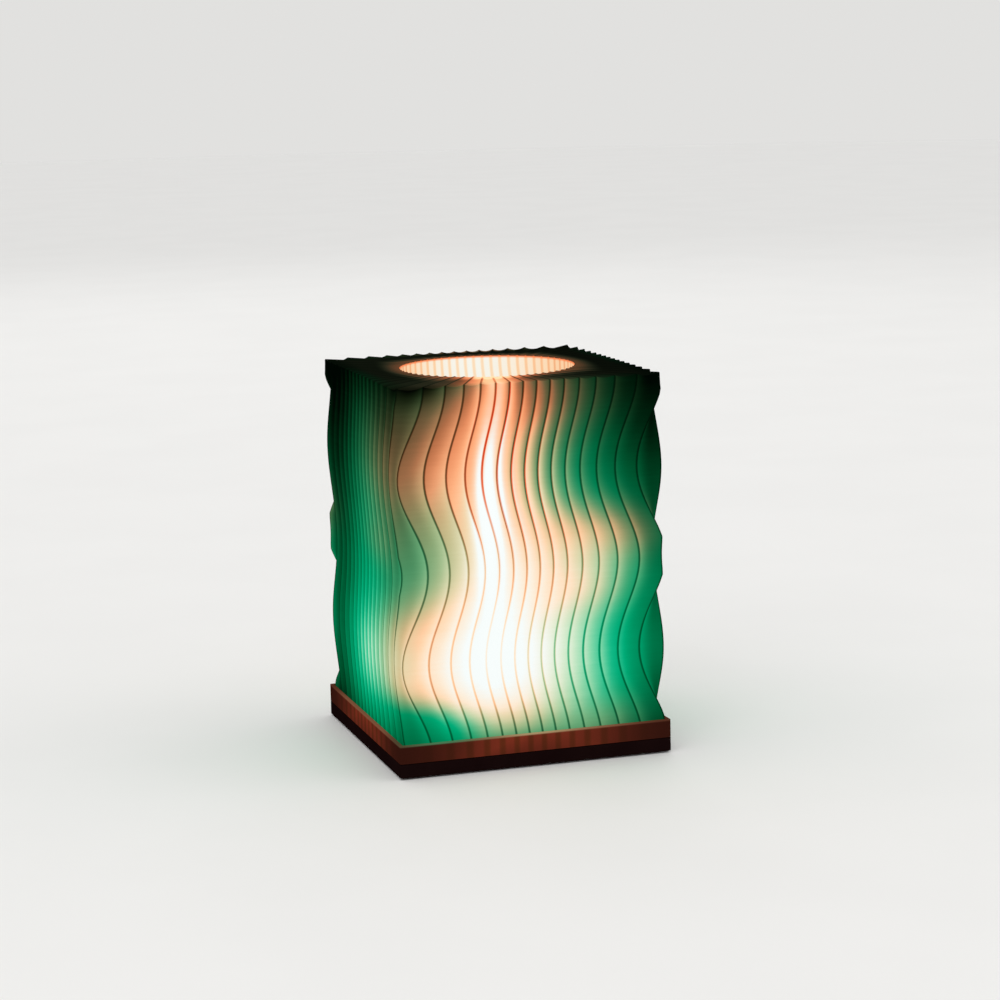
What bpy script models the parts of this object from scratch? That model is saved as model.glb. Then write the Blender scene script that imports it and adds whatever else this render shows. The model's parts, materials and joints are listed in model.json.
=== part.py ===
"""A square table lamp with a fluted shade whose ridges ripple from side to side.

Metres, +Z up. The origin is on the table under the middle of the lamp. The front
face looks along -Y, and the power inlet and the button are on the +Y side.
An angle round the lamp is measured from -Y towards +X.
"""

import math

import bmesh
import bpy
from mathutils import Vector

# Clearances, cuts and how finely round forms are divided
GAP = 0.0003
OVERRUN = 0.001
MERGE_DISTANCE = 0.000003
SHORT_STEPS = 16
LONG_STEPS = 28
HEXAGON_STEPS = 6
EDGE_SEGMENTS = 3
ROUND_PROFILE_SHARE = 0.5
SMOOTH_ANGLE = math.radians(35)

# Shade
SHADE_WIDTH = 0.112
SHADE_HEIGHT = 0.1483
SHADE_WALL = 0.0016
TOP_THICKNESS = 0.0024
INNER_CORNER_RADIUS = 0.008
RIDGE_COUNT = 60
RIDGE_START = math.radians(0.4)
RIDGE_SPREAD = math.radians(-0.7)
RIPPLE_SWING = math.radians(3.2)
RIPPLE_PERIOD = 0.0752
ROWS_PER_RIPPLE = 10
FLUTE_DEPTH_SHARE = 0.10
OPENING_RADIUS = 0.0363
COLLAR_DEPTH = 0.012

# Tray that the shade stands in
NEST_DEPTH = 0.0044
RIM_HEIGHT = 0.0074
TRAY_WALL = 0.0016
TRAY_FLOOR = 0.0016
CORNER_ROUND = 0.0008
WIRE_HOLE_RADIUS = 0.004

# Housing under the tray
FOOT_PROUD = 0.0008
HOUSING_HEIGHT = 0.0055
HOUSING_WALL = 0.0018
HOUSING_FLOOR = 0.0016

# Feet
FOOT_RADIUS = 0.005
FOOT_RECESS = 0.0008
FOOT_INSET = 0.0089
FOOT_ROUND = 0.0004

# Screws that hold the housing to the tray
BASE_SCREW_INSET = 0.0199
BASE_SCREW_HEAD_RADIUS = 0.0026
BASE_SCREW_HEAD = 0.0013
BASE_SCREW_RADIUS = 0.00145
BASE_SCREW_LENGTH = 0.0058
BASE_SCREW_SUNK = 0.0002
BASE_SCREW_SOCKET = 0.0008
BASE_BOSS_RADIUS = 0.0042
BASE_BOSS_HEIGHT = 0.002

# Lamp holder on the tray floor
HOLDER_EDGE = 0.0008
HOLDER_HEIGHT = 0.012
HOLDER_WALL = 0.002
HOLDER_BOSS_RADIUS = 0.003
HOLDER_SCREW_COUNT = 3
HOLDER_SCREW_START = math.radians(30)
HOLDER_SCREW_INSET = 0.0045
SMALL_HEAD_RADIUS = 0.002
SMALL_HEAD = 0.0011
SMALL_SCREW_RADIUS = 0.001
HOLDER_SCREW_LENGTH = 0.0082

# Light board and its light-emitting diodes
LIGHT_BOARD_THICKNESS = 0.0016
LIGHT_BOARD_PLAY = 0.0007
LIGHT_SCREW_INSET = 0.0035
LIGHT_SCREW_LENGTH = 0.0048
DIODE_PAIRS = 4
DIODE_CIRCLE = 0.0118
DIODE_LENGTH = 0.0035
DIODE_WIDTH = 0.0028
DIODE_HEIGHT = 0.0008

# Opal dome over the diodes and the ring that holds it
DOME_RADIUS = 0.0242
DOME_WALL = 0.0015
DOME_HEIGHT = 0.0386
DOME_SHOULDER = 0.012
DOME_FLANGE_WIDTH = 0.003
DOME_ARC_POINTS = 7
RING_THICKNESS = 0.0016
RING_WALL = 0.0018
RING_SKIRT = 0.0058

# Control board, with the inlet and the button at its back edge
PORT_X = 0.011
BOARD_SIDE = 0.005
BOARD_LENGTH = 0.0246
BOARD_THICKNESS = 0.001
BOARD_FLOOR_SPACE = 0.0016
BOARD_BACK_SPACE = 0.0015
BOARD_BOSS_RADIUS = 0.0024
BOARD_BOSS_INSET_X = 0.0032
BOARD_BOSS_INSET_Y = 0.0034
BOARD_SCREW_LENGTH = 0.0036
CHIP_WIDTH = 0.005
CHIP_LENGTH = 0.004
CHIP_HEIGHT = 0.001
CHIP_X = -0.0035
CHIP_INSET_Y = 0.0081
COIL_RADIUS = 0.0027
COIL_HEIGHT = 0.0021
COIL_X = 0.0035
COIL_INSET_Y = 0.0121

# Power inlet
INLET_Z = 0.0044
INLET_WIDTH = 0.009
INLET_HEIGHT = 0.0032
INLET_LENGTH = 0.0073
INLET_SHELL = 0.0003
INLET_ROUND = 0.0012
INLET_SUNK = 0.0003
TONGUE_WIDTH = 0.0066
TONGUE_HEIGHT = 0.0007
TONGUE_LENGTH = 0.0048

# Power button and the switch behind it
BUTTON_Z = 0.0044
BUTTON_WIDTH = 0.009
BUTTON_HEIGHT = 0.0028
BUTTON_SUNK = 0.0002
BUTTON_TRAVEL = 0.0012
BUTTON_FLANGE_WIDTH = 0.012
BUTTON_FLANGE = 0.001
BUTTON_ROUND = 0.0004
SWITCH_WIDTH = 0.0074
SWITCH_HEIGHT = 0.0034
SWITCH_LENGTH = 0.0068
SWITCH_SPACE = 0.0029
SWITCH_WALL = 0.0008
PLUNGER_WIDTH = 0.003
PLUNGER_HEIGHT = 0.0018
PLUNGER_SEATED = 0.0022

# Wires from the control board to the light board
PLUG_WIDTH = 0.0054
PLUG_LENGTH = 0.0042
PLUG_HEIGHT = 0.0019
PLUG_INSET_Y = 0.0055
WIRE_RADIUS = 0.0006
WIRE_SPACING = 0.0022
WIRE_BEND = 0.0048
WIRE_POINTS_PER_SPAN = 5

# Radii, widths and levels that follow from the sizes above
LIGHT_BOARD_RADIUS = DOME_RADIUS - DOME_WALL - LIGHT_BOARD_PLAY
LIGHT_SCREW_CIRCLE = LIGHT_BOARD_RADIUS - LIGHT_SCREW_INSET
HOLDER_RADIUS = DOME_RADIUS + DOME_FLANGE_WIDTH + HOLDER_EDGE
HOLDER_SCREW_CIRCLE = HOLDER_RADIUS - HOLDER_WALL - HOLDER_SCREW_INSET
INLET_X = -PORT_X
BUTTON_X = PORT_X
BOARD_WIDTH = 2 * (PORT_X + max(INLET_WIDTH, BUTTON_FLANGE_WIDTH) / 2 + BOARD_SIDE)
HALF_SHADE = SHADE_WIDTH / 2
HALF_BASE = HALF_SHADE + GAP + TRAY_WALL
HOUSING_BOTTOM = FOOT_PROUD
HOUSING_TOP = HOUSING_BOTTOM + HOUSING_HEIGHT
FLOOR_TOP = HOUSING_BOTTOM + HOUSING_FLOOR
TRAY_BOTTOM = HOUSING_TOP + GAP
TRAY_TOP = TRAY_BOTTOM + RIM_HEIGHT
SHADE_BOTTOM = TRAY_TOP - NEST_DEPTH
SHADE_TOP = SHADE_BOTTOM + SHADE_HEIGHT
TRAY_FLOOR_TOP = SHADE_BOTTOM - GAP
TRAY_FLOOR_UNDER = TRAY_FLOOR_TOP - TRAY_FLOOR
HOLDER_BOTTOM = TRAY_FLOOR_TOP + GAP
HOLDER_TOP = HOLDER_BOTTOM + HOLDER_HEIGHT
LIGHT_BOARD_BOTTOM = HOLDER_TOP + GAP
LIGHT_BOARD_TOP = LIGHT_BOARD_BOTTOM + LIGHT_BOARD_THICKNESS
BOARD_BOTTOM = FLOOR_TOP + BOARD_FLOOR_SPACE
BOARD_TOP = BOARD_BOTTOM + BOARD_THICKNESS
INNER_BACK_Y = HALF_BASE - HOUSING_WALL
BOARD_BACK_Y = INNER_BACK_Y - BOARD_BACK_SPACE
BOARD_FRONT_Y = BOARD_BACK_Y - BOARD_LENGTH
CHIP_Y = BOARD_BACK_Y - CHIP_INSET_Y
COIL_Y = BOARD_BACK_Y - COIL_INSET_Y
PLUG_Y = BOARD_FRONT_Y + PLUG_INSET_Y
BUTTON_OUTER_Y = HALF_BASE - BUTTON_SUNK
FLANGE_OUTER_Y = INNER_BACK_Y - GAP
FLANGE_INNER_Y = FLANGE_OUTER_Y - BUTTON_FLANGE
SWITCH_OUTER_Y = FLANGE_INNER_Y - SWITCH_SPACE
INLET_OUTER_Y = HALF_BASE - INLET_SUNK
INLET_INNER_Y = INLET_OUTER_Y - INLET_LENGTH
BOSS_BOTTOM = FLOOR_TOP + BASE_BOSS_HEIGHT + GAP
CORNER_SIGNS = ((-1, -1), (1, -1), (1, 1), (-1, 1))


# Scene and materials

def clear_scene():
    for old in list(bpy.data.objects):
        bpy.data.objects.remove(old, do_unlink=True)
    for old in list(bpy.data.collections):
        bpy.data.collections.remove(old)


def new_collection(name):
    collection = bpy.data.collections.new(name)
    bpy.context.scene.collection.children.link(collection)
    return collection


def material(name, colour, roughness, metallic=0.0, glow=0.0):
    made = bpy.data.materials.new(name)
    made.use_nodes = True
    shader = made.node_tree.nodes["Principled BSDF"]
    shader.inputs["Base Color"].default_value = (*colour, 1.0)
    shader.inputs["Roughness"].default_value = roughness
    shader.inputs["Metallic"].default_value = metallic
    shader.inputs["Emission Color"].default_value = (*colour, 1.0)
    shader.inputs["Emission Strength"].default_value = glow
    made.diffuse_color = (*colour, 1.0)
    return made


# Mesh and object helpers

def add_object(name, mesh, finish, collection=None, place=(0, 0, 0), parent=None):
    obj = bpy.data.objects.new(name, mesh)
    (collection or LAMP).objects.link(obj)
    obj.location = place
    obj.parent = parent
    if finish and not mesh.materials:
        mesh.materials.append(finish)
    return obj


def add_empty(name, place):
    empty = bpy.data.objects.new(name, None)
    LAMP.objects.link(empty)
    empty.location = place
    return empty


def add_cutter(name, mesh, place=(0, 0, 0)):
    cutter = add_object(name, mesh, None, CUTTERS, place)
    cutter.hide_render = True
    cutter.display_type = "WIRE"
    return cutter


def mesh_from(work, name):
    mesh = bpy.data.meshes.new(name)
    work.to_mesh(mesh)
    work.free()
    return mesh


def add_box(work, low, high, round_over=0.0, along="Z"):
    """Adds a box between two corners, its edges along one axis rounded over."""
    size = [b - a for a, b in zip(low, high)]
    centre = [(a + b) / 2 for a, b in zip(low, high)]
    corners = bmesh.ops.create_cube(work, size=1.0)["verts"]
    bmesh.ops.scale(work, vec=size, verts=corners)
    bmesh.ops.translate(work, vec=centre, verts=corners)
    if round_over:
        axis = "XYZ".index(along)
        edges = {edge for corner in corners for edge in corner.link_edges}
        chosen = [e for e in edges if abs((e.verts[0].co - e.verts[1].co)[axis]) > size[axis] / 2]
        bmesh.ops.bevel(
            work, geom=chosen, offset=round_over, segments=EDGE_SEGMENTS,
            profile=ROUND_PROFILE_SHARE, affect="EDGES",
        )


def add_cylinder(work, centre, low, high, radius, steps=SHORT_STEPS):
    """Adds an upright cylinder between two levels."""
    made = bmesh.ops.create_cone(
        work, cap_ends=True, segments=steps, radius1=radius, radius2=radius, depth=high - low
    )
    bmesh.ops.translate(work, vec=(centre[0], centre[1], (low + high) / 2), verts=made["verts"])


def box_mesh(name, low, high, round_over=0.0, along="Z"):
    work = bmesh.new()
    add_box(work, low, high, round_over, along)
    return mesh_from(work, name)


def turn(name, profile, finish, steps=LONG_STEPS, closed=False):
    """Turns (radius, height) points, listed down the outer side, about the Z axis."""
    work = bmesh.new()
    points = [work.verts.new((radius, 0, height)) for radius, height in profile]
    pairs = list(zip(points, points[1:]))
    if closed:
        pairs.append((points[-1], points[0]))
    for pair in pairs:
        work.edges.new(pair)
    obj = add_object(name, mesh_from(work, name), finish)
    screw = obj.modifiers.new("turn", "SCREW")
    screw.axis = "Z"
    screw.steps = steps
    screw.render_steps = steps
    screw.use_merge_vertices = True
    screw.merge_threshold = MERGE_DISTANCE
    return obj


def boolean(obj, operation, other):
    modifier = obj.modifiers.new(operation.lower(), "BOOLEAN")
    modifier.operation = operation
    modifier.solver = "EXACT"
    modifier.object = other


def baked(obj):
    """The object's mesh with its modifiers applied."""
    graph = bpy.context.evaluated_depsgraph_get()
    return bpy.data.meshes.new_from_object(obj.evaluated_get(graph))


def shade_smooth(obj):
    obj.data.shade_smooth()
    obj.data.set_sharp_from_angle(angle=SMOOTH_ANGLE)


def on_circle(radius, angle):
    return (radius * math.cos(angle), radius * math.sin(angle))


# Shade

def square_point(angle, half):
    """The point of a square outline that lies at this angle round the lamp."""
    radius = half / max(abs(math.sin(angle)), abs(math.cos(angle)))
    return Vector((radius * math.sin(angle), -radius * math.cos(angle), 0))


def rounded_square_point(angle, half, corner):
    """The same for a square with round corners."""
    x, y = abs(math.sin(angle)), abs(math.cos(angle))
    centre = half - corner
    radius = half / max(x, y)
    if radius * min(x, y) > centre:
        along = centre * (x + y)
        across = 2 * centre * centre - along * along
        radius = along + math.sqrt(corner * corner - across)
    return Vector((radius * math.sin(angle), -radius * math.cos(angle), 0))


def ridge_angle(index, below_top):
    """Where a ridge stands at this distance below the shade's top."""
    step = 2 * math.pi / RIDGE_COUNT
    swing = RIPPLE_SWING * math.cos(2 * math.pi * below_top / RIPPLE_PERIOD)
    angle = RIDGE_START + index * step + swing
    return angle + RIDGE_SPREAD * math.sin(4 * angle)


def fluted_row(ridges, height, inward=1, sink=0):
    """Ridge points with a hollow between each two. sink is how far hollows also drop."""
    row = []
    for index, ridge in enumerate(ridges):
        following = ridges[(index + 1) % len(ridges)]
        depth = FLUTE_DEPTH_SHARE * (following - ridge).length
        middle = (ridge + following) / 2
        hollow = middle - inward * depth * middle.normalized()
        row.append((ridge.x, ridge.y, height))
        row.append((hollow.x, hollow.y, height - sink * depth))
    return row


def plain_row(outline, height, below_top):
    """As many points as a fluted row has, on a plain outline."""
    angles = [ridge_angle(index, below_top) for index in range(RIDGE_COUNT + 1)]
    angles[-1] = angles[0] + 2 * math.pi
    row = []
    for angle, following in zip(angles, angles[1:]):
        for place in (angle, (angle + following) / 2):
            point = outline(place)
            row.append((point.x, point.y, height))
    return row


def shade_rows():
    """Closed rings of points: up the outside, over the top, down the collar and back inside."""
    half = HALF_SHADE
    count = round(SHADE_HEIGHT / RIPPLE_PERIOD * ROWS_PER_RIPPLE)
    rows = []
    for level in range(count + 1):
        below = SHADE_HEIGHT * (1 - level / count)
        ridges = [square_point(ridge_angle(i, below), half) for i in range(RIDGE_COUNT)]
        rows.append(fluted_row(ridges, SHADE_HEIGHT - below, sink=1 if level == count else 0))
    ridges = [p.normalized() * OPENING_RADIUS for p in ridges]
    rows.append(fluted_row(ridges, SHADE_HEIGHT, inward=-1, sink=1))
    rows.append(fluted_row(ridges, SHADE_HEIGHT - COLLAR_DEPTH, inward=-1))

    flute_depth = (ridges[0] - ridges[1]).length * FLUTE_DEPTH_SHARE
    collar_outside = OPENING_RADIUS + flute_depth + SHADE_WALL
    ceiling = SHADE_HEIGHT - TOP_THICKNESS
    inner_half = half - SHADE_WALL - half * 2 * math.pi / RIDGE_COUNT * FLUTE_DEPTH_SHARE

    def collar_point(angle):
        return Vector((collar_outside * math.sin(angle), -collar_outside * math.cos(angle), 0))

    def inner_point(angle):
        return rounded_square_point(angle, inner_half, INNER_CORNER_RADIUS)

    rows.append(plain_row(collar_point, SHADE_HEIGHT - COLLAR_DEPTH, 0))
    rows.append(plain_row(collar_point, ceiling, 0))
    rows.append(plain_row(inner_point, ceiling, 0))
    rows.append(plain_row(inner_point, 0, SHADE_HEIGHT))
    return rows


def make_shade(parent):
    work = bmesh.new()
    rows = [[work.verts.new(point) for point in row] for row in shade_rows()]
    for row, above in zip(rows, rows[1:] + rows[:1]):
        for i, start in enumerate(row):
            j = (i + 1) % len(row)
            work.faces.new((start, row[j], above[j], above[i]))
    bmesh.ops.recalc_face_normals(work, faces=work.faces)
    add_object("shade", mesh_from(work, "shade"), SHADE_PLASTIC, parent=parent)


# Tray, housing, feet and the screws between them

def base_screw_places():
    reach = HALF_BASE - BASE_SCREW_INSET
    return [(x * reach, y * reach) for x, y in CORNER_SIGNS]


def holder_screw_places():
    step = 2 * math.pi / HOLDER_SCREW_COUNT
    angles = [HOLDER_SCREW_START + i * step for i in range(HOLDER_SCREW_COUNT)]
    return [on_circle(HOLDER_SCREW_CIRCLE, angle) for angle in angles]


def make_tray():
    inner = HALF_BASE - TRAY_WALL
    tray = add_object("tray", box_mesh(
        "tray", (-HALF_BASE, -HALF_BASE, TRAY_BOTTOM), (HALF_BASE, HALF_BASE, TRAY_TOP), CORNER_ROUND
    ), TRAY_PLASTIC)

    work = bmesh.new()
    add_box(work, (-inner, -inner, TRAY_FLOOR_TOP), (inner, inner, TRAY_TOP + OVERRUN))
    add_box(work, (-inner, -inner, TRAY_BOTTOM - OVERRUN), (inner, inner, TRAY_FLOOR_UNDER))
    boolean(tray, "DIFFERENCE", add_cutter("tray_hollows", mesh_from(work, "tray_hollows")))

    work = bmesh.new()
    for place in base_screw_places():
        add_cylinder(work, place, BOSS_BOTTOM, TRAY_FLOOR_UNDER + TRAY_FLOOR / 2, BASE_BOSS_RADIUS)
    boolean(tray, "UNION", add_cutter("tray_bosses", mesh_from(work, "tray_bosses")))

    work = bmesh.new()
    screw_end = HOUSING_BOTTOM + BASE_SCREW_SUNK + BASE_SCREW_HEAD + BASE_SCREW_LENGTH
    for place in base_screw_places():
        add_cylinder(
            work, place, BOSS_BOTTOM - OVERRUN, screw_end + GAP, BASE_SCREW_RADIUS + GAP
        )
    for place in holder_screw_places():
        add_cylinder(
            work, place, TRAY_FLOOR_UNDER - OVERRUN, TRAY_FLOOR_TOP + OVERRUN,
            SMALL_SCREW_RADIUS + GAP,
        )
    add_cylinder(
        work, (0, 0), TRAY_FLOOR_UNDER - OVERRUN, TRAY_FLOOR_TOP + OVERRUN, WIRE_HOLE_RADIUS
    )
    boolean(tray, "DIFFERENCE", add_cutter("tray_holes", mesh_from(work, "tray_holes")))


def board_boss_places():
    """The two at the front of the control board take a screw, the two at the back only carry it."""
    x = BOARD_WIDTH / 2 - BOARD_BOSS_INSET_X
    front = BOARD_FRONT_Y + BOARD_BOSS_INSET_Y
    back = BOARD_BACK_Y - BOARD_BOSS_INSET_Y
    return [(-x, front), (x, front), (-x, back), (x, back)]


def make_housing():
    inner = HALF_BASE - HOUSING_WALL
    housing = add_object("housing", box_mesh(
        "housing", (-HALF_BASE, -HALF_BASE, HOUSING_BOTTOM), (HALF_BASE, HALF_BASE, HOUSING_TOP),
        CORNER_ROUND,
    ), HOUSING_PLASTIC)

    hollow = box_mesh(
        "housing_hollow", (-inner, -inner, FLOOR_TOP), (inner, inner, HOUSING_TOP + OVERRUN)
    )
    boolean(housing, "DIFFERENCE", add_cutter("housing_hollow", hollow))

    work = bmesh.new()
    root = FLOOR_TOP - HOUSING_FLOOR / 2
    for place in base_screw_places():
        add_cylinder(work, place, root, FLOOR_TOP + BASE_BOSS_HEIGHT, BASE_BOSS_RADIUS)
    for place in board_boss_places():
        add_cylinder(work, place, root, BOARD_BOTTOM - GAP, BOARD_BOSS_RADIUS)
    boolean(housing, "UNION", add_cutter("housing_bosses", mesh_from(work, "housing_bosses")))

    work = bmesh.new()
    shank_top = FLOOR_TOP + BASE_BOSS_HEIGHT + OVERRUN
    for place in base_screw_places():
        add_cylinder(
            work, place, HOUSING_BOTTOM - OVERRUN,
            HOUSING_BOTTOM + BASE_SCREW_SUNK + BASE_SCREW_HEAD + GAP, BASE_SCREW_HEAD_RADIUS + GAP,
        )
    reach = HALF_BASE - FOOT_INSET
    for x, y in CORNER_SIGNS:
        add_cylinder(
            work, (x * reach, y * reach), HOUSING_BOTTOM - OVERRUN, HOUSING_BOTTOM + FOOT_RECESS,
            FOOT_RADIUS + GAP,
        )
    screw_bottom = BOARD_TOP + GAP - BOARD_SCREW_LENGTH
    for place in board_boss_places()[:2]:
        add_cylinder(
            work, place, screw_bottom - GAP, BOARD_BOTTOM + OVERRUN, SMALL_SCREW_RADIUS + GAP
        )
    low, high = notch_box(INLET_X, INLET_Z, INLET_WIDTH, INLET_HEIGHT)
    add_box(work, low, high)
    low, high = notch_box(BUTTON_X, BUTTON_Z, BUTTON_WIDTH, BUTTON_HEIGHT)
    add_box(work, low, high)
    boolean(housing, "DIFFERENCE", add_cutter("housing_cuts", mesh_from(work, "housing_cuts")))

    work = bmesh.new()
    for place in base_screw_places():
        add_cylinder(work, place, HOUSING_BOTTOM, shank_top, BASE_SCREW_RADIUS + GAP)
    boolean(housing, "DIFFERENCE", add_cutter("housing_shanks", mesh_from(work, "housing_shanks")))


def notch_box(x, z, width, height):
    """The slot in the housing's back wall that a piece of this size passes through."""
    low = (x - width / 2 - GAP, HALF_BASE - HOUSING_WALL - OVERRUN, z - height / 2 - GAP)
    high = (x + width / 2 + GAP, HALF_BASE + OVERRUN, HOUSING_TOP + OVERRUN)
    return low, high


def make_feet():
    reach = HALF_BASE - FOOT_INSET
    top = HOUSING_BOTTOM + FOOT_RECESS - GAP
    for index, (x, y) in enumerate(CORNER_SIGNS, 1):
        foot = turn(f"foot_{index}", [
            (0, top), (FOOT_RADIUS, top), (FOOT_RADIUS, FOOT_ROUND),
            (FOOT_RADIUS - FOOT_ROUND, 0), (0, 0),
        ], RUBBER, SHORT_STEPS)
        foot.location = (x * reach, y * reach, 0)
        shade_smooth(foot)


def make_base_screws():
    """Button-head screws with a hexagon socket, put in from below."""
    head_bottom = HOUSING_BOTTOM + BASE_SCREW_SUNK
    head_top = head_bottom + BASE_SCREW_HEAD
    end = head_top + BASE_SCREW_LENGTH
    first = turn("base_screw", [
        (0, end), (BASE_SCREW_RADIUS, end), (BASE_SCREW_RADIUS, head_top),
        (BASE_SCREW_HEAD_RADIUS, head_top), (BASE_SCREW_HEAD_RADIUS, head_bottom + FOOT_ROUND),
        (BASE_SCREW_HEAD_RADIUS - FOOT_ROUND, head_bottom), (0, head_bottom),
    ], STEEL, SHORT_STEPS)
    work = bmesh.new()
    add_cylinder(
        work, (0, 0), head_bottom - OVERRUN, head_bottom + BASE_SCREW_SOCKET,
        BASE_SCREW_RADIUS, HEXAGON_STEPS,
    )
    boolean(first, "DIFFERENCE", add_cutter("screw_socket", mesh_from(work, "screw_socket")))
    shared = baked(first)
    bpy.data.objects.remove(first)
    for index, (x, y) in enumerate(base_screw_places(), 1):
        shade_smooth(add_object(f"base_screw_{index}", shared, STEEL, place=(x, y, 0)))


def make_small_screw(name, place, head_under, length, upside_down=False):
    """A cheese-head screw. head_under is the level of the head's underside."""
    way = -1 if upside_down else 1
    profile = [
        (0, way * SMALL_HEAD), (SMALL_HEAD_RADIUS, way * SMALL_HEAD), (SMALL_HEAD_RADIUS, 0),
        (SMALL_SCREW_RADIUS, 0), (SMALL_SCREW_RADIUS, -way * length), (0, -way * length),
    ]
    if upside_down:
        profile.reverse()
    screw = turn(name, profile, STEEL, SHORT_STEPS)
    screw.location = (*place, head_under)
    shade_smooth(screw)


# Lamp holder, light board, dome and ring

def make_holder():
    top, bottom = HOLDER_TOP, HOLDER_BOTTOM
    inner = HOLDER_RADIUS - HOLDER_WALL
    holder = turn("lamp_holder", [
        (WIRE_HOLE_RADIUS, top), (HOLDER_RADIUS, top), (HOLDER_RADIUS, bottom), (inner, bottom),
        (inner, top - HOLDER_WALL), (WIRE_HOLE_RADIUS, top - HOLDER_WALL),
    ], HOLDER_PLASTIC, closed=True)

    work = bmesh.new()
    for place in holder_screw_places():
        add_cylinder(work, place, bottom, top - HOLDER_WALL / 2, HOLDER_BOSS_RADIUS)
    boolean(holder, "UNION", add_cutter("holder_bosses", mesh_from(work, "holder_bosses")))

    work = bmesh.new()
    screw_end = TRAY_FLOOR_UNDER - GAP + HOLDER_SCREW_LENGTH
    for place in holder_screw_places():
        add_cylinder(
            work, place, bottom - OVERRUN, screw_end + GAP, SMALL_SCREW_RADIUS + GAP
        )
    for side in (-1, 1):
        add_cylinder(
            work, (side * LIGHT_SCREW_CIRCLE, 0), top - HOLDER_WALL - OVERRUN, top + OVERRUN,
            SMALL_SCREW_RADIUS + GAP,
        )
    boolean(holder, "DIFFERENCE", add_cutter("holder_holes", mesh_from(work, "holder_holes")))
    for index, place in enumerate(holder_screw_places(), 1):
        make_small_screw(
            f"holder_screw_{index}", place, TRAY_FLOOR_UNDER - GAP, HOLDER_SCREW_LENGTH, True
        )


def make_light_board():
    board = turn("light_board", [
        (0, LIGHT_BOARD_TOP), (LIGHT_BOARD_RADIUS, LIGHT_BOARD_TOP),
        (LIGHT_BOARD_RADIUS, LIGHT_BOARD_BOTTOM), (0, LIGHT_BOARD_BOTTOM),
    ], WHITE_BOARD)
    work = bmesh.new()
    for side in (-1, 1):
        add_cylinder(
            work, (side * LIGHT_SCREW_CIRCLE, 0), LIGHT_BOARD_BOTTOM - OVERRUN,
            LIGHT_BOARD_TOP + OVERRUN, SMALL_SCREW_RADIUS + GAP,
        )
    boolean(board, "DIFFERENCE", add_cutter("light_board_holes", mesh_from(work, "holes")))
    for index, side in enumerate((-1, 1), 1):
        make_small_screw(
            f"light_screw_{index}", (side * LIGHT_SCREW_CIRCLE, 0), LIGHT_BOARD_TOP + GAP,
            LIGHT_SCREW_LENGTH,
        )
    diode = box_mesh(
        "diode", (-DIODE_LENGTH / 2, -DIODE_WIDTH / 2, 0),
        (DIODE_LENGTH / 2, DIODE_WIDTH / 2, DIODE_HEIGHT),
    )
    for kind, finish, shift in (("warm", WARM_DIODE, 0), ("green", GREEN_DIODE, 1)):
        shared = diode.copy()
        for index in range(DIODE_PAIRS):
            angle = (2 * index + shift + 1 / 2) * math.pi / DIODE_PAIRS
            obj = add_object(
                f"{kind}_diode_{index + 1}", shared, finish,
                place=(*on_circle(DIODE_CIRCLE, angle), LIGHT_BOARD_TOP + GAP),
            )
            obj.rotation_euler.z = angle


def dome_arc(radius, base, top):
    """The dome's rounded end, from its crown down to its straight side."""
    arc = [(0, top)]
    for index in range(1, DOME_ARC_POINTS):
        angle = math.pi / 2 * (1 - index / DOME_ARC_POINTS)
        arc.append((radius * math.cos(angle), base + (top - base) * math.sin(angle)))
    return arc + [(radius, base)]


def make_dome():
    bottom = LIGHT_BOARD_BOTTOM
    top = bottom + DOME_HEIGHT
    flange_top = bottom + LIGHT_BOARD_THICKNESS
    flange_radius = DOME_RADIUS + DOME_FLANGE_WIDTH
    shoulder = bottom + DOME_SHOULDER
    inner_radius = DOME_RADIUS - DOME_WALL
    outside = dome_arc(DOME_RADIUS, shoulder, top)
    inside = dome_arc(inner_radius, shoulder, top - DOME_WALL)
    profile = outside + [
        (DOME_RADIUS, flange_top), (flange_radius, flange_top), (flange_radius, bottom),
        (inner_radius, bottom),
    ] + inside[::-1]
    shade_smooth(turn("diffuser_dome", profile, OPAL))

    ring_bottom = flange_top + GAP
    inner = DOME_RADIUS + GAP
    skirt = HOLDER_RADIUS + GAP
    outer = skirt + RING_WALL
    ring_top = ring_bottom + RING_THICKNESS
    shade_smooth(turn("dome_ring", [
        (inner, ring_top), (outer, ring_top), (outer, ring_bottom - RING_SKIRT),
        (skirt, ring_bottom - RING_SKIRT), (skirt, ring_bottom), (inner, ring_bottom),
    ], HOLDER_PLASTIC, closed=True))


# Control board, inlet, button and wires

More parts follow.
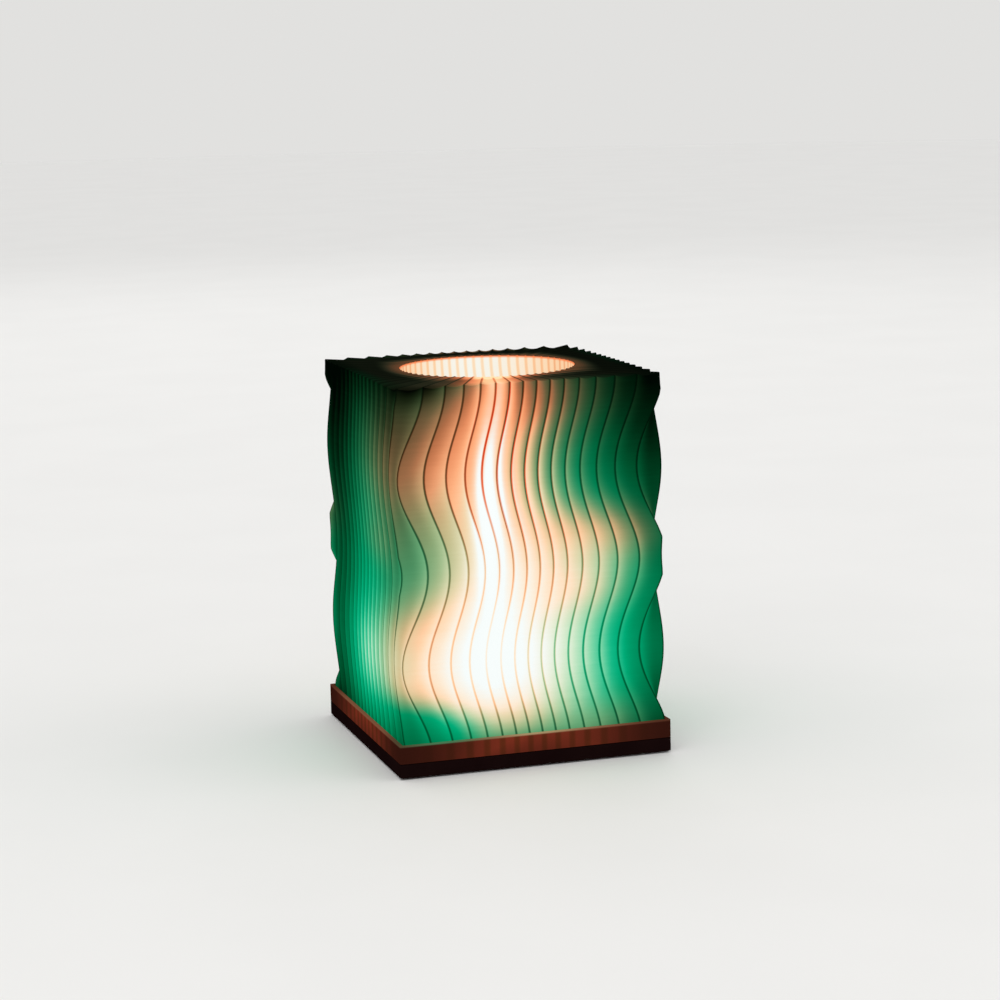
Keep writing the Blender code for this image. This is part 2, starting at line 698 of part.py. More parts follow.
def make_control_board():
    board = add_object("control_board", box_mesh(
        "control_board", (-BOARD_WIDTH / 2, BOARD_FRONT_Y, BOARD_BOTTOM),
        (BOARD_WIDTH / 2, BOARD_BACK_Y, BOARD_TOP),
    ), GREEN_BOARD)
    work = bmesh.new()
    low, high = BOARD_BOTTOM - OVERRUN, BOARD_TOP + OVERRUN
    back = BOARD_BACK_Y + OVERRUN
    for x, width, front in (
        (INLET_X, INLET_WIDTH, INLET_INNER_Y),
        (BUTTON_X, SWITCH_WIDTH, SWITCH_OUTER_Y - SWITCH_LENGTH),
    ):
        reach = width / 2 + GAP
        add_box(work, (x - reach, front - GAP, low), (x + reach, back, high))
    for place in board_boss_places()[:2]:
        add_cylinder(work, place, low, high, SMALL_SCREW_RADIUS + GAP)
    boolean(board, "DIFFERENCE", add_cutter("board_cuts", mesh_from(work, "board_cuts")))
    reach = BUTTON_FLANGE_WIDTH / 2 + GAP
    front = FLANGE_INNER_Y - BUTTON_TRAVEL - GAP
    room = box_mesh("button_room", (BUTTON_X - reach, front, low), (BUTTON_X + reach, back, high))
    boolean(board, "DIFFERENCE", add_cutter("button_room", room))
    for index, place in enumerate(board_boss_places()[:2], 1):
        make_small_screw(f"board_screw_{index}", place, BOARD_TOP + GAP, BOARD_SCREW_LENGTH)

    base = BOARD_TOP + GAP
    add_object("driver_chip", box_mesh(
        "driver_chip", (CHIP_X - CHIP_WIDTH / 2, CHIP_Y - CHIP_LENGTH / 2, base),
        (CHIP_X + CHIP_WIDTH / 2, CHIP_Y + CHIP_LENGTH / 2, base + CHIP_HEIGHT),
    ), BLACK_PLASTIC)
    coil = turn("driver_coil", [
        (0, COIL_HEIGHT), (COIL_RADIUS, COIL_HEIGHT), (COIL_RADIUS, 0), (0, 0),
    ], BLACK_PLASTIC, SHORT_STEPS)
    coil.location = (COIL_X, COIL_Y, base)
    shade_smooth(coil)


def make_inlet():
    half_width, half_height = INLET_WIDTH / 2, INLET_HEIGHT / 2
    shell = add_object("inlet_shell", box_mesh(
        "inlet_shell", (-half_width, INLET_INNER_Y, INLET_Z - half_height),
        (half_width, INLET_OUTER_Y, INLET_Z + half_height), INLET_ROUND, "Y",
    ), STEEL, place=(INLET_X, 0, 0))
    wide, high = half_width - INLET_SHELL, half_height - INLET_SHELL
    hollow = box_mesh(
        "inlet_hollow", (-wide, INLET_INNER_Y + INLET_SHELL, INLET_Z - high),
        (wide, INLET_OUTER_Y + OVERRUN, INLET_Z + high), INLET_ROUND - INLET_SHELL, "Y",
    )
    boolean(shell, "DIFFERENCE", add_cutter("inlet_hollow", hollow, (INLET_X, 0, 0)))
    back = INLET_INNER_Y + INLET_SHELL + GAP
    add_object("inlet_tongue", box_mesh(
        "inlet_tongue", (-TONGUE_WIDTH / 2, back, INLET_Z - TONGUE_HEIGHT / 2),
        (TONGUE_WIDTH / 2, back + TONGUE_LENGTH, INLET_Z + TONGUE_HEIGHT / 2),
    ), BLACK_PLASTIC, place=(INLET_X, 0, 0))


def make_button():
    """The cap and the switch's plunger move together. Their parent stands on the press axis."""
    axis = add_empty("button_axis", (BUTTON_X, BUTTON_OUTER_Y, BUTTON_Z))
    half_height = BUTTON_HEIGHT / 2
    flange_out = FLANGE_OUTER_Y - BUTTON_OUTER_Y
    flange_in = FLANGE_INNER_Y - BUTTON_OUTER_Y
    button = add_object("power_button", box_mesh(
        "power_button", (-BUTTON_WIDTH / 2, flange_in, -half_height),
        (BUTTON_WIDTH / 2, 0, half_height), BUTTON_ROUND, "Y",
    ), BUTTON_PLASTIC, parent=axis)
    flange = box_mesh(
        "button_flange", (-BUTTON_FLANGE_WIDTH / 2, flange_in, -half_height),
        (BUTTON_FLANGE_WIDTH / 2, flange_out, half_height), BUTTON_ROUND, "Y",
    )
    joined = add_cutter("button_flange", flange)
    joined.parent = axis
    boolean(button, "UNION", joined)

    plunger_end = SWITCH_OUTER_Y - PLUNGER_SEATED - BUTTON_OUTER_Y
    add_object("switch_plunger", box_mesh(
        "switch_plunger", (-PLUNGER_WIDTH / 2, plunger_end, -PLUNGER_HEIGHT / 2),
        (PLUNGER_WIDTH / 2, flange_in - GAP, PLUNGER_HEIGHT / 2),
    ), WHITE_PLASTIC, parent=axis)


def make_switch():
    low_z, high_z = BUTTON_Z - SWITCH_HEIGHT / 2, BUTTON_Z + SWITCH_HEIGHT / 2
    switch = add_object("switch_body", box_mesh(
        "switch_body", (-SWITCH_WIDTH / 2, SWITCH_OUTER_Y - SWITCH_LENGTH, low_z),
        (SWITCH_WIDTH / 2, SWITCH_OUTER_Y, high_z),
    ), BLACK_PLASTIC, place=(BUTTON_X, 0, 0))
    wide, high = PLUNGER_WIDTH / 2 + GAP, PLUNGER_HEIGHT / 2 + GAP
    bore = box_mesh(
        "switch_bore", (-wide, SWITCH_OUTER_Y - SWITCH_LENGTH + SWITCH_WALL, BUTTON_Z - high),
        (wide, SWITCH_OUTER_Y + OVERRUN, BUTTON_Z + high),
    )
    boolean(switch, "DIFFERENCE", add_cutter("switch_bore", bore, (BUTTON_X, 0, 0)))


def smooth_points(route):
    """Points of a Catmull-Rom curve through the route."""
    ends = [2 * route[0] - route[1]] + route + [2 * route[-1] - route[-2]]
    points = []
    for a, b, c, d in zip(ends, ends[1:], ends[2:], ends[3:]):
        for index in range(WIRE_POINTS_PER_SPAN):
            t = index / WIRE_POINTS_PER_SPAN
            points.append((
                2 * b + (c - a) * t + (2 * a - 5 * b + 4 * c - d) * t**2
                + (3 * b - a - 3 * c + d) * t**3
            ) / 2)
    return points + [route[-1]]


def make_wires():
    base = BOARD_TOP + GAP
    add_object("wire_plug", box_mesh(
        "wire_plug", (-PLUG_WIDTH / 2, PLUG_Y - PLUG_LENGTH / 2, base),
        (PLUG_WIDTH / 2, PLUG_Y + PLUG_LENGTH / 2, base + PLUG_HEIGHT),
    ), WHITE_PLASTIC)
    level = base + PLUG_HEIGHT / 2
    front = PLUG_Y - PLUG_LENGTH / 2 - GAP
    end = LIGHT_BOARD_BOTTOM - GAP
    for name, side, finish in (("wire_red", -1, RED_WIRE), ("wire_black", 1, BLACK_PLASTIC)):
        x = side * WIRE_SPACING / 2
        route = [Vector((x, y, z)) for y, z in (
            (front, level), (front - WIRE_BEND, level), (front / 2, level), (WIRE_BEND, level),
            (0, level + WIRE_BEND), (0, (level + WIRE_BEND + end) / 2), (0, end),
        )]
        curve = bpy.data.curves.new(name, "CURVE")
        curve.dimensions = "3D"
        curve.bevel_depth = WIRE_RADIUS
        curve.bevel_resolution = 2
        curve.use_fill_caps = True
        spline = curve.splines.new("POLY")
        points = smooth_points(route)
        spline.points.add(len(points) - 1)
        for place, point in zip(spline.points, points):
            place.co = (*point, 1)
        curve.materials.append(finish)
        LAMP.objects.link(bpy.data.objects.new(name, curve))


clear_scene()
LAMP = new_collection("ripple_lamp")
CUTTERS = new_collection("cutters")

SHADE_PLASTIC = material("shade_plastic", (0.10, 0.52, 0.36), 0.45, glow=0.6)
TRAY_PLASTIC = material("tray_plastic", (0.16, 0.045, 0.028), 0.42)
HOUSING_PLASTIC = material("housing_plastic", (0.012, 0.009, 0.009), 0.5)
HOLDER_PLASTIC = material("holder_plastic", (0.75, 0.74, 0.70), 0.5)
BLACK_PLASTIC = material("black_plastic", (0.02, 0.02, 0.022), 0.5)
WHITE_PLASTIC = material("white_plastic", (0.8, 0.8, 0.77), 0.45)
BUTTON_PLASTIC = material("button_plastic", (0.025, 0.022, 0.022), 0.4)
RUBBER = material("rubber", (0.02, 0.02, 0.02), 0.85)
STEEL = material("steel", (0.6, 0.6, 0.6), 0.3, metallic=1.0)
WHITE_BOARD = material("white_board", (0.85, 0.85, 0.82), 0.4)
GREEN_BOARD = material("green_board", (0.01, 0.14, 0.05), 0.4)
WARM_DIODE = material("warm_diode", (1.0, 0.66, 0.30), 0.4, glow=4.0)
GREEN_DIODE = material("green_diode", (0.20, 1.0, 0.62), 0.4, glow=4.0)
OPAL = material("opal_plastic", (0.95, 0.90, 0.82), 0.4, glow=1.5)
RED_WIRE = material("red_wire", (0.55, 0.02, 0.02), 0.5)

shade_axis = add_empty("shade_axis", (0, 0, SHADE_BOTTOM))
make_shade(shade_axis)
make_tray()
make_housing()
make_feet()
make_base_screws()
make_holder()
make_light_board()
make_dome()
make_control_board()
make_inlet()
make_button()
make_switch()
make_wires()
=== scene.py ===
# %% [markdown]
# # A table lamp with a rippled cube shade
#
# The lamp is a tall square shade of printed translucent plastic that stands in a
# low red-brown tray. Sixty sharp ridges run down the shade and swing from side to
# side, like ripples on water. Lit from inside it glows green and peach with a
# white-hot column in front of the bulb.
#
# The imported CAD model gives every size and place. Here it gets its looks: a finer
# shade, soft edges, and finishes made of nodes. We load it before anything else,
# and keep its box so that we can prove later that nothing grew.

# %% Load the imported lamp
import json
import math

import bmesh
import bpy
from mathutils import Matrix, Vector


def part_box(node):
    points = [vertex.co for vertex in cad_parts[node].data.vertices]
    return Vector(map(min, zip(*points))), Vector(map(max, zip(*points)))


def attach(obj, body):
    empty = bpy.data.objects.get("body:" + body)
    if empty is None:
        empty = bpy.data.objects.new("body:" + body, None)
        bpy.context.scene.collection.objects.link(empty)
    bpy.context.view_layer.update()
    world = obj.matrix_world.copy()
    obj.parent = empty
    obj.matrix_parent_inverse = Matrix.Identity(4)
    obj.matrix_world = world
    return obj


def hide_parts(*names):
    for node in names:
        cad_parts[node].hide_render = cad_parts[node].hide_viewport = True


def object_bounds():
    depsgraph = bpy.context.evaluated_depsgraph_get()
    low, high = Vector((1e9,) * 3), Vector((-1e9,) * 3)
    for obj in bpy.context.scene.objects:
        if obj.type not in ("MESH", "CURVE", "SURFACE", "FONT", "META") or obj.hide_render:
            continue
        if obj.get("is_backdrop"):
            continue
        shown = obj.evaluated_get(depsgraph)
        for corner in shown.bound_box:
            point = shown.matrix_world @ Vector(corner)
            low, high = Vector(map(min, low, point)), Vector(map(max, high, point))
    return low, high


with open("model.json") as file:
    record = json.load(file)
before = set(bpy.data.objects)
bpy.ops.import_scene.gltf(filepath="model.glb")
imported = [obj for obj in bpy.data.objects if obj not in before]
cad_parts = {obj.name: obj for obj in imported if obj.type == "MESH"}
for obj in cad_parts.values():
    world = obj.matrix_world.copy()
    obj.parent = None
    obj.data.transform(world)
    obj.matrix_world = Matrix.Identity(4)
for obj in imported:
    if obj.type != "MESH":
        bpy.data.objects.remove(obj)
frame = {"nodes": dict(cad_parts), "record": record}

cad_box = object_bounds()
nodes = frame["nodes"]
print("CAD nodes:", len(nodes), "box:", [tuple(round(c, 4) for c in corner) for corner in cad_box])

# %% [markdown]
# ## The camera
#
# The viewpoint was worked out from the ridges, the round opening and the corners
# of the tray: about 17 degrees to the left of the front face and 10 degrees above
# it, with a lens just under 100 mm. A camera can be aimed with rotations, but with
# yaw, pitch and roll at hand it is clearer to build its three axes and put them in
# a matrix.

# %% Place the camera
CAMERA_PLACE = Vector((-0.33085, -1.07412, 0.29348))
CAMERA_YAW = math.radians(16.91)
CAMERA_PITCH = math.radians(9.72)
CAMERA_ROLL = math.radians(-1.38)
CAMERA_LENS = 97.65
CAMERA_SENSOR = 36
CAMERA_SHIFT = 0.0197


def camera_matrix():
    flat = math.cos(CAMERA_PITCH)
    forward = Vector((
        math.sin(CAMERA_YAW) * flat, math.cos(CAMERA_YAW) * flat, -math.sin(CAMERA_PITCH)
    ))
    level = Vector((math.cos(CAMERA_YAW), -math.sin(CAMERA_YAW), 0))
    upright = level.cross(forward)
    right = level * math.cos(CAMERA_ROLL) + upright * math.sin(CAMERA_ROLL)
    up = upright * math.cos(CAMERA_ROLL) - level * math.sin(CAMERA_ROLL)
    turned = Matrix((right, up, -forward)).transposed().to_4x4()
    turned.translation = CAMERA_PLACE
    return turned


camera_data = bpy.data.cameras.new("camera")
camera_data.lens = CAMERA_LENS
camera_data.sensor_width = CAMERA_SENSOR
camera_data.shift_x = CAMERA_SHIFT
camera = bpy.data.objects.new("camera", camera_data)
bpy.context.scene.collection.objects.link(camera)
camera.matrix_world = camera_matrix()
bpy.context.scene.camera = camera
print("camera looks along", tuple(round(c, 3) for c in -camera.matrix_world.col[2].xyz))

# %% [markdown]
# ## Floor, room and lamps
#
# A plain pale studio keeps attention on the lamp. The floor is one wide disc. The
# world lights everything evenly. The camera, mirrors and glass see it in the very
# shade that this light gives the floor, so floor and backdrop meet without a line.
# The Light Path node tells these rays apart. Three large soft lamps add a little
# shape without blowing out the pale parts.

# %% Make the studio
FLOOR_RADIUS = 6.0
FLOOR_SIDES = 96
FLOOR_COLOUR = (0.84, 0.835, 0.82)
FLOOR_DARKEST_SHARE = 0.985
ROOM_LIGHT = 0.90
BACKDROP = tuple(part * ROOM_LIGHT for part in FLOOR_COLOUR)


def link(obj):
    bpy.context.scene.collection.objects.link(obj)
    return obj


def make_floor():
    work = bmesh.new()
    bmesh.ops.create_circle(work, cap_ends=True, segments=FLOOR_SIDES, radius=FLOOR_RADIUS)
    mesh = bpy.data.meshes.new("floor")
    work.to_mesh(mesh)
    work.free()
    floor = link(bpy.data.objects.new("floor", mesh))
    floor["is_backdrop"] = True
    return floor


def make_room():
    world = bpy.data.worlds.new("room")
    bpy.context.scene.world = world
    world.use_nodes = True
    tree = world.node_tree
    tree.nodes.clear()
    light = tree.nodes.new("ShaderNodeBackground")
    light.inputs["Color"].default_value = (ROOM_LIGHT, ROOM_LIGHT, ROOM_LIGHT, 1)
    seen = tree.nodes.new("ShaderNodeBackground")
    seen.inputs["Color"].default_value = (*BACKDROP, 1)
    path = tree.nodes.new("ShaderNodeLightPath")
    either = path.outputs["Is Camera Ray"]
    for ray in ("Is Glossy Ray", "Is Transmission Ray"):
        larger = tree.nodes.new("ShaderNodeMath")
        larger.operation = "MAXIMUM"
        tree.links.new(either, larger.inputs[0])
        tree.links.new(path.outputs[ray], larger.inputs[1])
        either = larger.outputs[0]
    mix = tree.nodes.new("ShaderNodeMixShader")
    tree.links.new(either, mix.inputs[0])
    tree.links.new(light.outputs[0], mix.inputs[1])
    tree.links.new(seen.outputs[0], mix.inputs[2])
    out = tree.nodes.new("ShaderNodeOutputWorld")
    tree.links.new(mix.outputs[0], out.inputs["Surface"])


def soft_lamp(name, place, size, watts, aim):
    data = bpy.data.lights.new(name, "AREA")
    data.shape = "DISK"
    data.size = size
    data.energy = watts
    lamp = link(bpy.data.objects.new(name, data))
    lamp.location = place
    lamp.rotation_euler = (aim - lamp.location).to_track_quat("-Z", "Y").to_euler()


floor = make_floor()
make_room()
lamp_middle = (cad_box[0] + cad_box[1]) / 2
soft_lamp("key_light", Vector((-1.1, -1.5, 1.7)), 1.6, 7, lamp_middle)
soft_lamp("fill_light", Vector((1.6, -0.6, 1.3)), 1.8, 3, lamp_middle)
soft_lamp("back_light", Vector((0.3, 1.8, 1.4)), 1.8, 4, lamp_middle)
bpy.context.scene.view_settings.view_transform = "Standard"
print("studio ready, lamp is", round(cad_box[1].z * 1000, 1), "mm tall")

# %% [markdown]
# ## A bench for finishes
#
# Every finish below is a small net of nodes that ends in one Principled shader.
# Wiring nodes by hand takes many lines, so a helper class keeps each step short:
# a value can be a number or another node's output, and the helper links or sets it.

# %% Node helper
SCREEN_GAMMA = 2.2


def shown(red, green, blue):
    """A colour as it shows on screen, each part from 0 to 255."""
    return (red / 255, green / 255, blue / 255, 1.0)


class Finish:
    """A material with one Principled shader and short calls for the nodes before it."""

    def __init__(self, name, roughness=0.5, shine=0.3):
        self.material = bpy.data.materials.new(name)
        self.material.use_nodes = True
        self.tree = self.material.node_tree
        self.shader = self.tree.nodes["Principled BSDF"]
        self.shader.inputs["Roughness"].default_value = roughness
        self.shader.inputs["Specular IOR Level"].default_value = shine

    def put(self, value, socket):
        if isinstance(value, bpy.types.NodeSocket):
            self.tree.links.new(value, socket)
        else:
            socket.default_value = value

    def node(self, kind, **settings):
        made = self.tree.nodes.new("ShaderNode" + kind)
        for name, value in settings.items():
            setattr(made, name, value)
        return made

    def maths(self, operation, *values):
        made = self.node("Math", operation=operation)
        for value, socket in zip(values, made.inputs):
            self.put(value, socket)
        return made.outputs[0]

    def vector_maths(self, operation, *values):
        made = self.node("VectorMath", operation=operation)
        for value, socket in zip(values, made.inputs):
            self.put(value, socket)
        return made.outputs["Value" if operation == "DOT_PRODUCT" else "Vector"]

    def ease(self, value, start, end, low=0.0, high=1.0):
        """Goes smoothly from low to high while value goes from start to end."""
        made = self.node("MapRange", interpolation_type="SMOOTHSTEP")
        for given, socket in zip((value, start, end, low, high), made.inputs):
            self.put(given, socket)
        return made.outputs[0]

    def ramp(self, value, stops):
        """A colour ramp from (place, colour) pairs."""
        made = self.node("ValToRGB")
        band = made.color_ramp
        while len(band.elements) < len(stops):
            band.elements.new(0.5)
        for element, (place, colour) in zip(band.elements, stops):
            element.position = place
            element.color = colour
        self.put(value, made.inputs[0])
        return made.outputs["Color"]

    def mix(self, share, first, second, blend="MIX"):
        made = self.node("Mix", data_type="RGBA", blend_type=blend)
        colours = [s for s in made.inputs if s.type == "RGBA"]
        self.put(share, made.inputs[0])
        self.put(first, colours[0])
        self.put(second, colours[1])
        return [s for s in made.outputs if s.type == "RGBA"][0]

    def tinted(self, share, colour, tint):
        """Multiplies a share of the colour by a tint."""
        return self.mix(share, colour, self.mix(1.0, colour, tint, "MULTIPLY"))

    def own_place(self):
        return self.node("TexCoord").outputs["Object"]

    def parts(self, vector):
        made = self.node("SeparateXYZ")
        self.put(vector, made.inputs[0])
        return made.outputs

    def noise(self, scale, detail=2.0, stretch=None):
        place = self.own_place()
        if stretch:
            place = self.vector_maths("MULTIPLY", place, stretch)
        made = self.node("TexNoise")
        self.put(place, made.inputs["Vector"])
        made.inputs["Scale"].default_value = scale
        made.inputs["Detail"].default_value = detail
        return made.outputs[0]

    def bump(self, height, distance, strength=1.0):
        made = self.node("Bump")
        made.inputs["Strength"].default_value = strength
        made.inputs["Distance"].default_value = distance
        self.put(height, made.inputs["Height"])
        self.put(made.outputs["Normal"], self.shader.inputs["Normal"])

    def as_light(self, colour):
        """Turns a colour as shown on screen into the light that makes it."""
        made = self.node("Gamma")
        self.put(colour, made.inputs["Color"])
        made.inputs["Gamma"].default_value = SCREEN_GAMMA
        return made.outputs[0]

    def colour(self, value):
        self.put(value, self.shader.inputs["Base Color"])

    def lit(self, colour, body_share, glow):
        """Shows a screen colour partly as paint and partly as its own light."""
        light = self.as_light(colour)
        paint = self.mix(1.0, light, (body_share,) * 3 + (1.0,), "MULTIPLY")
        self.put(paint, self.shader.inputs["Base Color"])
        self.put(light, self.shader.inputs["Emission Color"])
        self.shader.inputs["Emission Strength"].default_value = glow


floor_finish = Finish("floor_paint", roughness=0.7, shine=0.05)
floor_grain = floor_finish.noise(9.0, 3.0)
floor_darker = tuple(part * FLOOR_DARKEST_SHARE for part in FLOOR_COLOUR)
floor_finish.colour(floor_finish.mix(
    floor_finish.ease(floor_grain, 0.3, 0.7), (*FLOOR_COLOUR, 1), (*floor_darker, 1)
))
floor.data.materials.append(floor_finish.material)
print("floor painted")

# %% [markdown]
# ## How the ridges run
#
# The shade's outline is a plain square at every height. What ripples is the place
# of the ridges on it: each ridge slides left and right round the square as it goes
# down, two waves from top to bottom. One cosine of the height gives that, and a
# small sine of four times the angle spaces the ridges as they are on the lamp.
# With the rule written once, the wall, the flat top and the round collar can all
# take their ridges from it.

# %% The ridge rule
shade_low, shade_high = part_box("shade")
SHADE_HALF = shade_high.x
SHADE_BOTTOM = shade_low.z
SHADE_TOP = shade_high.z
SHADE_HEIGHT = SHADE_TOP - SHADE_BOTTOM
RIDGE_COUNT = 60
RIDGE_START = math.radians(0.4)
RIDGE_SPREAD = math.radians(-0.7)
RIPPLE_SWING = math.radians(3.2)
RIPPLE_PERIOD = 0.0752
STEPS_PER_FLUTE = 8
FLUTE_DEPTH_SHARE = 0.10


def ridge_angle(index, height):
    """Where a ridge stands at this height, as an angle from the front towards the right."""
    below = SHADE_TOP - height
    swing = RIPPLE_SWING * math.cos(2 * math.pi * below / RIPPLE_PERIOD)
    angle = RIDGE_START + index * 2 * math.pi / RIDGE_COUNT + swing
    return angle + RIDGE_SPREAD * math.sin(4 * angle)


def face_place(angle):
    """How far round the square an angle lies, in face widths from the front left corner."""
    turns = math.floor((angle + math.pi / 4) / (math.pi / 2))
    return turns + (math.tan(angle - turns * math.pi / 2) + 1) / 2


def square_point(angle):
    radius = SHADE_HALF / max(abs(math.sin(angle)), abs(math.cos(angle)))
    return Vector((radius * math.sin(angle), -radius * math.cos(angle), 0))


def ridges_at(height):
    angles = [ridge_angle(index, height) for index in range(RIDGE_COUNT)]
    return angles + [angles[0] + 2 * math.pi]


print("a ridge swings", round(SHADE_HALF * math.tan(RIPPLE_SWING) * 1000, 1), "mm each way")

# %% [markdown]
# ## The shade's mesh
#
# The real shade is printed as one shell: fluted wall, flat top, a short fluted
# collar round the opening, and a smooth inside. It could be a plane with a wave
# modifier, but the ridges have to meet at the top edge and run on over it, so the
# shell is a loft: closed rings of points, each ring with eight steps between two
# ridges, joined one to the next. A ring is either fluted, where the steps follow a
# shallow hollow, or plain. The last ring joins the first, so the body is closed.

# %% Rings of the shade
OPENING_RADIUS = 0.0363
COLLAR_DEPTH = 0.012
SHADE_WALL = 0.0016
TOP_THICKNESS = 0.0024
INNER_CORNER_RADIUS = 0.008
EDGE_ROUND = 0.0004
WALL_ROWS = 66
ROUND_SHARE = 1 - math.cos(math.pi / 4)


def hollow(step):
    """1 in the middle between two ridges and 0 on them."""
    share = step / STEPS_PER_FLUTE
    return 4 * share * (1 - share)


def fluted_ring(ridges, height, inward=1, sink=0):
    """Points along hollows between ridges. sink says how far the hollows drop as well."""
    ring = []
    for start, end in zip(ridges, ridges[1:] + ridges[:1]):
        depth = FLUTE_DEPTH_SHARE * (end - start).length
        way = ((start + end) / 2).normalized() * inward
        for step in range(STEPS_PER_FLUTE):
            point = start.lerp(end, step / STEPS_PER_FLUTE) - way * depth * hollow(step)
            point.z = height - sink * depth * hollow(step)
            ring.append(point)
    return ring


def plain_ring(angles, outline, height):
    """Points on a plain outline, as many as a fluted ring has."""
    ring = []
    for start, end in zip(angles, angles[1:]):
        for step in range(STEPS_PER_FLUTE):
            point = outline(start + (end - start) * step / STEPS_PER_FLUTE)
            point.z = height
            ring.append(point)
    return ring


def circle_outline(radius):
    return lambda angle: Vector((radius * math.sin(angle), -radius * math.cos(angle), 0))


def inner_outline(half, corner):
    """A square with round corners, by angle."""
    def point(angle):
        x, y = abs(math.sin(angle)), abs(math.cos(angle))
        middle = half - corner
        radius = half / max(x, y)
        if radius * min(x, y) > middle:
            along = middle * (x + y)
            radius = along + math.sqrt(corner * corner - 2 * middle * middle + along * along)
        return Vector((radius * math.sin(angle), -radius * math.cos(angle), 0))
    return point


def moved(ring, scale, drop):
    return [Vector((p.x * scale, p.y * scale, p.z - drop)) for p in ring]


def between(first, second, share):
    return [a.lerp(b, share) for a, b in zip(first, second)]


print("points in a ring:", RIDGE_COUNT * STEPS_PER_FLUTE)

# %% [markdown]
# Each ring also says which zone it starts (wall, top, collar or inside) and gives a
# second number for the finish: the height on the wall, or the share of the way
# across the top. Those numbers, the place round the square and the place across a
# flute are stored on the mesh, and the finishes read them to draw light and lines
# that follow the ridges exactly.

# %% Stack the rings
TOP_SHARES = (0, 0.12, 0.3, 0.5, 0.7, 0.88, 1)
COLLAR_SHARES = (0.03, 0.2, 0.4, 0.6, 0.8, 1)
INSIDE_ROWS = 24


def opening_ring(angles, height, sink=0):
    circle = [circle_outline(OPENING_RADIUS)(a) for a in angles[:-1]]
    return fluted_ring(circle, height, inward=-1, sink=sink)


def wall_rings(edge, top_angles):
    """The fluted wall, from the bottom edge to just under the top edge."""
    stack = []
    for row in range(WALL_ROWS):
        height = SHADE_BOTTOM + SHADE_HEIGHT * row / WALL_ROWS
        angles = ridges_at(height)
        ring = fluted_ring([square_point(a) for a in angles[:-1]], height)
        stack.append(("wall", row / WALL_ROWS, angles, ring))
    under = moved(edge, 1, EDGE_ROUND)
    stack.append(("wall", 1 - EDGE_ROUND / SHADE_HEIGHT, top_angles, under))
    return stack


def top_rings(edge, rim, angles):
    """Over the rounded edge and across the flat top to the opening."""
    inset = 1 - EDGE_ROUND * ROUND_SHARE / SHADE_HALF
    stack = [("top", 0.0, angles, moved(edge, inset, EDGE_ROUND * ROUND_SHARE))]
    flat_edge = moved(edge, 1 - EDGE_ROUND / SHADE_HALF, 0)
    flat_rim = moved(rim, 1 + EDGE_ROUND / OPENING_RADIUS, 0)
    for share in TOP_SHARES:
        stack.append(("top", share, angles, between(flat_edge, flat_rim, share)))
    return stack


def collar_rings(rim, angles):
    """Over the rim of the opening and down the fluted collar."""
    outset = 1 + EDGE_ROUND * ROUND_SHARE / OPENING_RADIUS
    stack = [("collar", 0.0, angles, moved(rim, outset, EDGE_ROUND * ROUND_SHARE))]
    for share in COLLAR_SHARES:
        height = SHADE_TOP - COLLAR_DEPTH * share
        turned = ridges_at(height)
        stack.append(("collar", share, turned, opening_ring(turned, height)))
    return stack


def inside_rings(top_angles):
    """Up behind the collar, out along the ceiling and down the smooth inside."""
    flute_depth = FLUTE_DEPTH_SHARE * 2 * OPENING_RADIUS * math.sin(math.pi / RIDGE_COUNT)
    collar_back = circle_outline(OPENING_RADIUS + flute_depth + SHADE_WALL)
    flute_at_wall = SHADE_HALF * 2 * math.pi / RIDGE_COUNT * FLUTE_DEPTH_SHARE
    inside = inner_outline(SHADE_HALF - SHADE_WALL - flute_at_wall, INNER_CORNER_RADIUS)
    ceiling = SHADE_TOP - TOP_THICKNESS
    low = plain_ring(top_angles, collar_back, SHADE_TOP - COLLAR_DEPTH)
    high = plain_ring(top_angles, collar_back, ceiling)
    wide = plain_ring(top_angles, inside, ceiling)
    stack = [
        ("inside", 0.92, top_angles, low),
        ("inside", 0.97, top_angles, high),
        ("inside", 0.98, top_angles, between(high, wide, 0.5)),
    ]
    for row in range(INSIDE_ROWS + 1):
        share = 1 - row / INSIDE_ROWS
        height = SHADE_BOTTOM + (ceiling - SHADE_BOTTOM) * share
        angles = ridges_at(height)
        ring = plain_ring(angles, inside, height)
        stack.append(("inside", share * ceiling / SHADE_TOP, angles, ring))
    return stack


def shade_rings():
    """(zone, number, ridge angles, ring) from the bottom edge up, over and down inside."""
    angles = ridges_at(SHADE_TOP)
    edge = fluted_ring([square_point(a) for a in angles[:-1]], SHADE_TOP, sink=1)
    rim = opening_ring(angles, SHADE_TOP, sink=1)
    return (
        wall_rings(edge, angles) + top_rings(edge, rim, angles)
        + collar_rings(rim, angles) + inside_rings(angles)
    )


stack = shade_rings()
print("rings:", len(stack))

# %% [markdown]
# With the rings stacked, each face joins four points of two neighbouring rings, and
# its zone picks its finish. The numbers are stored for each face's own corners, so a
# face between two zones can end on its own zone's last number.

# %% Join the rings
ZONE_ENDS = {"wall": 1.0, "top": 1.0, "collar": 1.0, "inside": 0.0}
ZONES = list(ZONE_ENDS)
SHADE_SHARP_ANGLE = math.radians(28)


def corner_values(zone, row, ridge, side):
    """What a corner of a face stores: its place, and how far it is from a ridge."""
    row_zone, number, angles, ring = stack[row]
    if row_zone != zone:
        number = ZONE_ENDS[zone]
    share = side / STEPS_PER_FLUTE
    start = face_place(angles[ridge])
    end = face_place(angles[ridge + 1])
    near = ring[ridge * STEPS_PER_FLUTE]
    far = ring[(ridge + 1) * STEPS_PER_FLUTE % len(ring)]
    gap = min(share, 1 - share) * (near - far).length
    return (start + (end - start) * share, number, share), gap


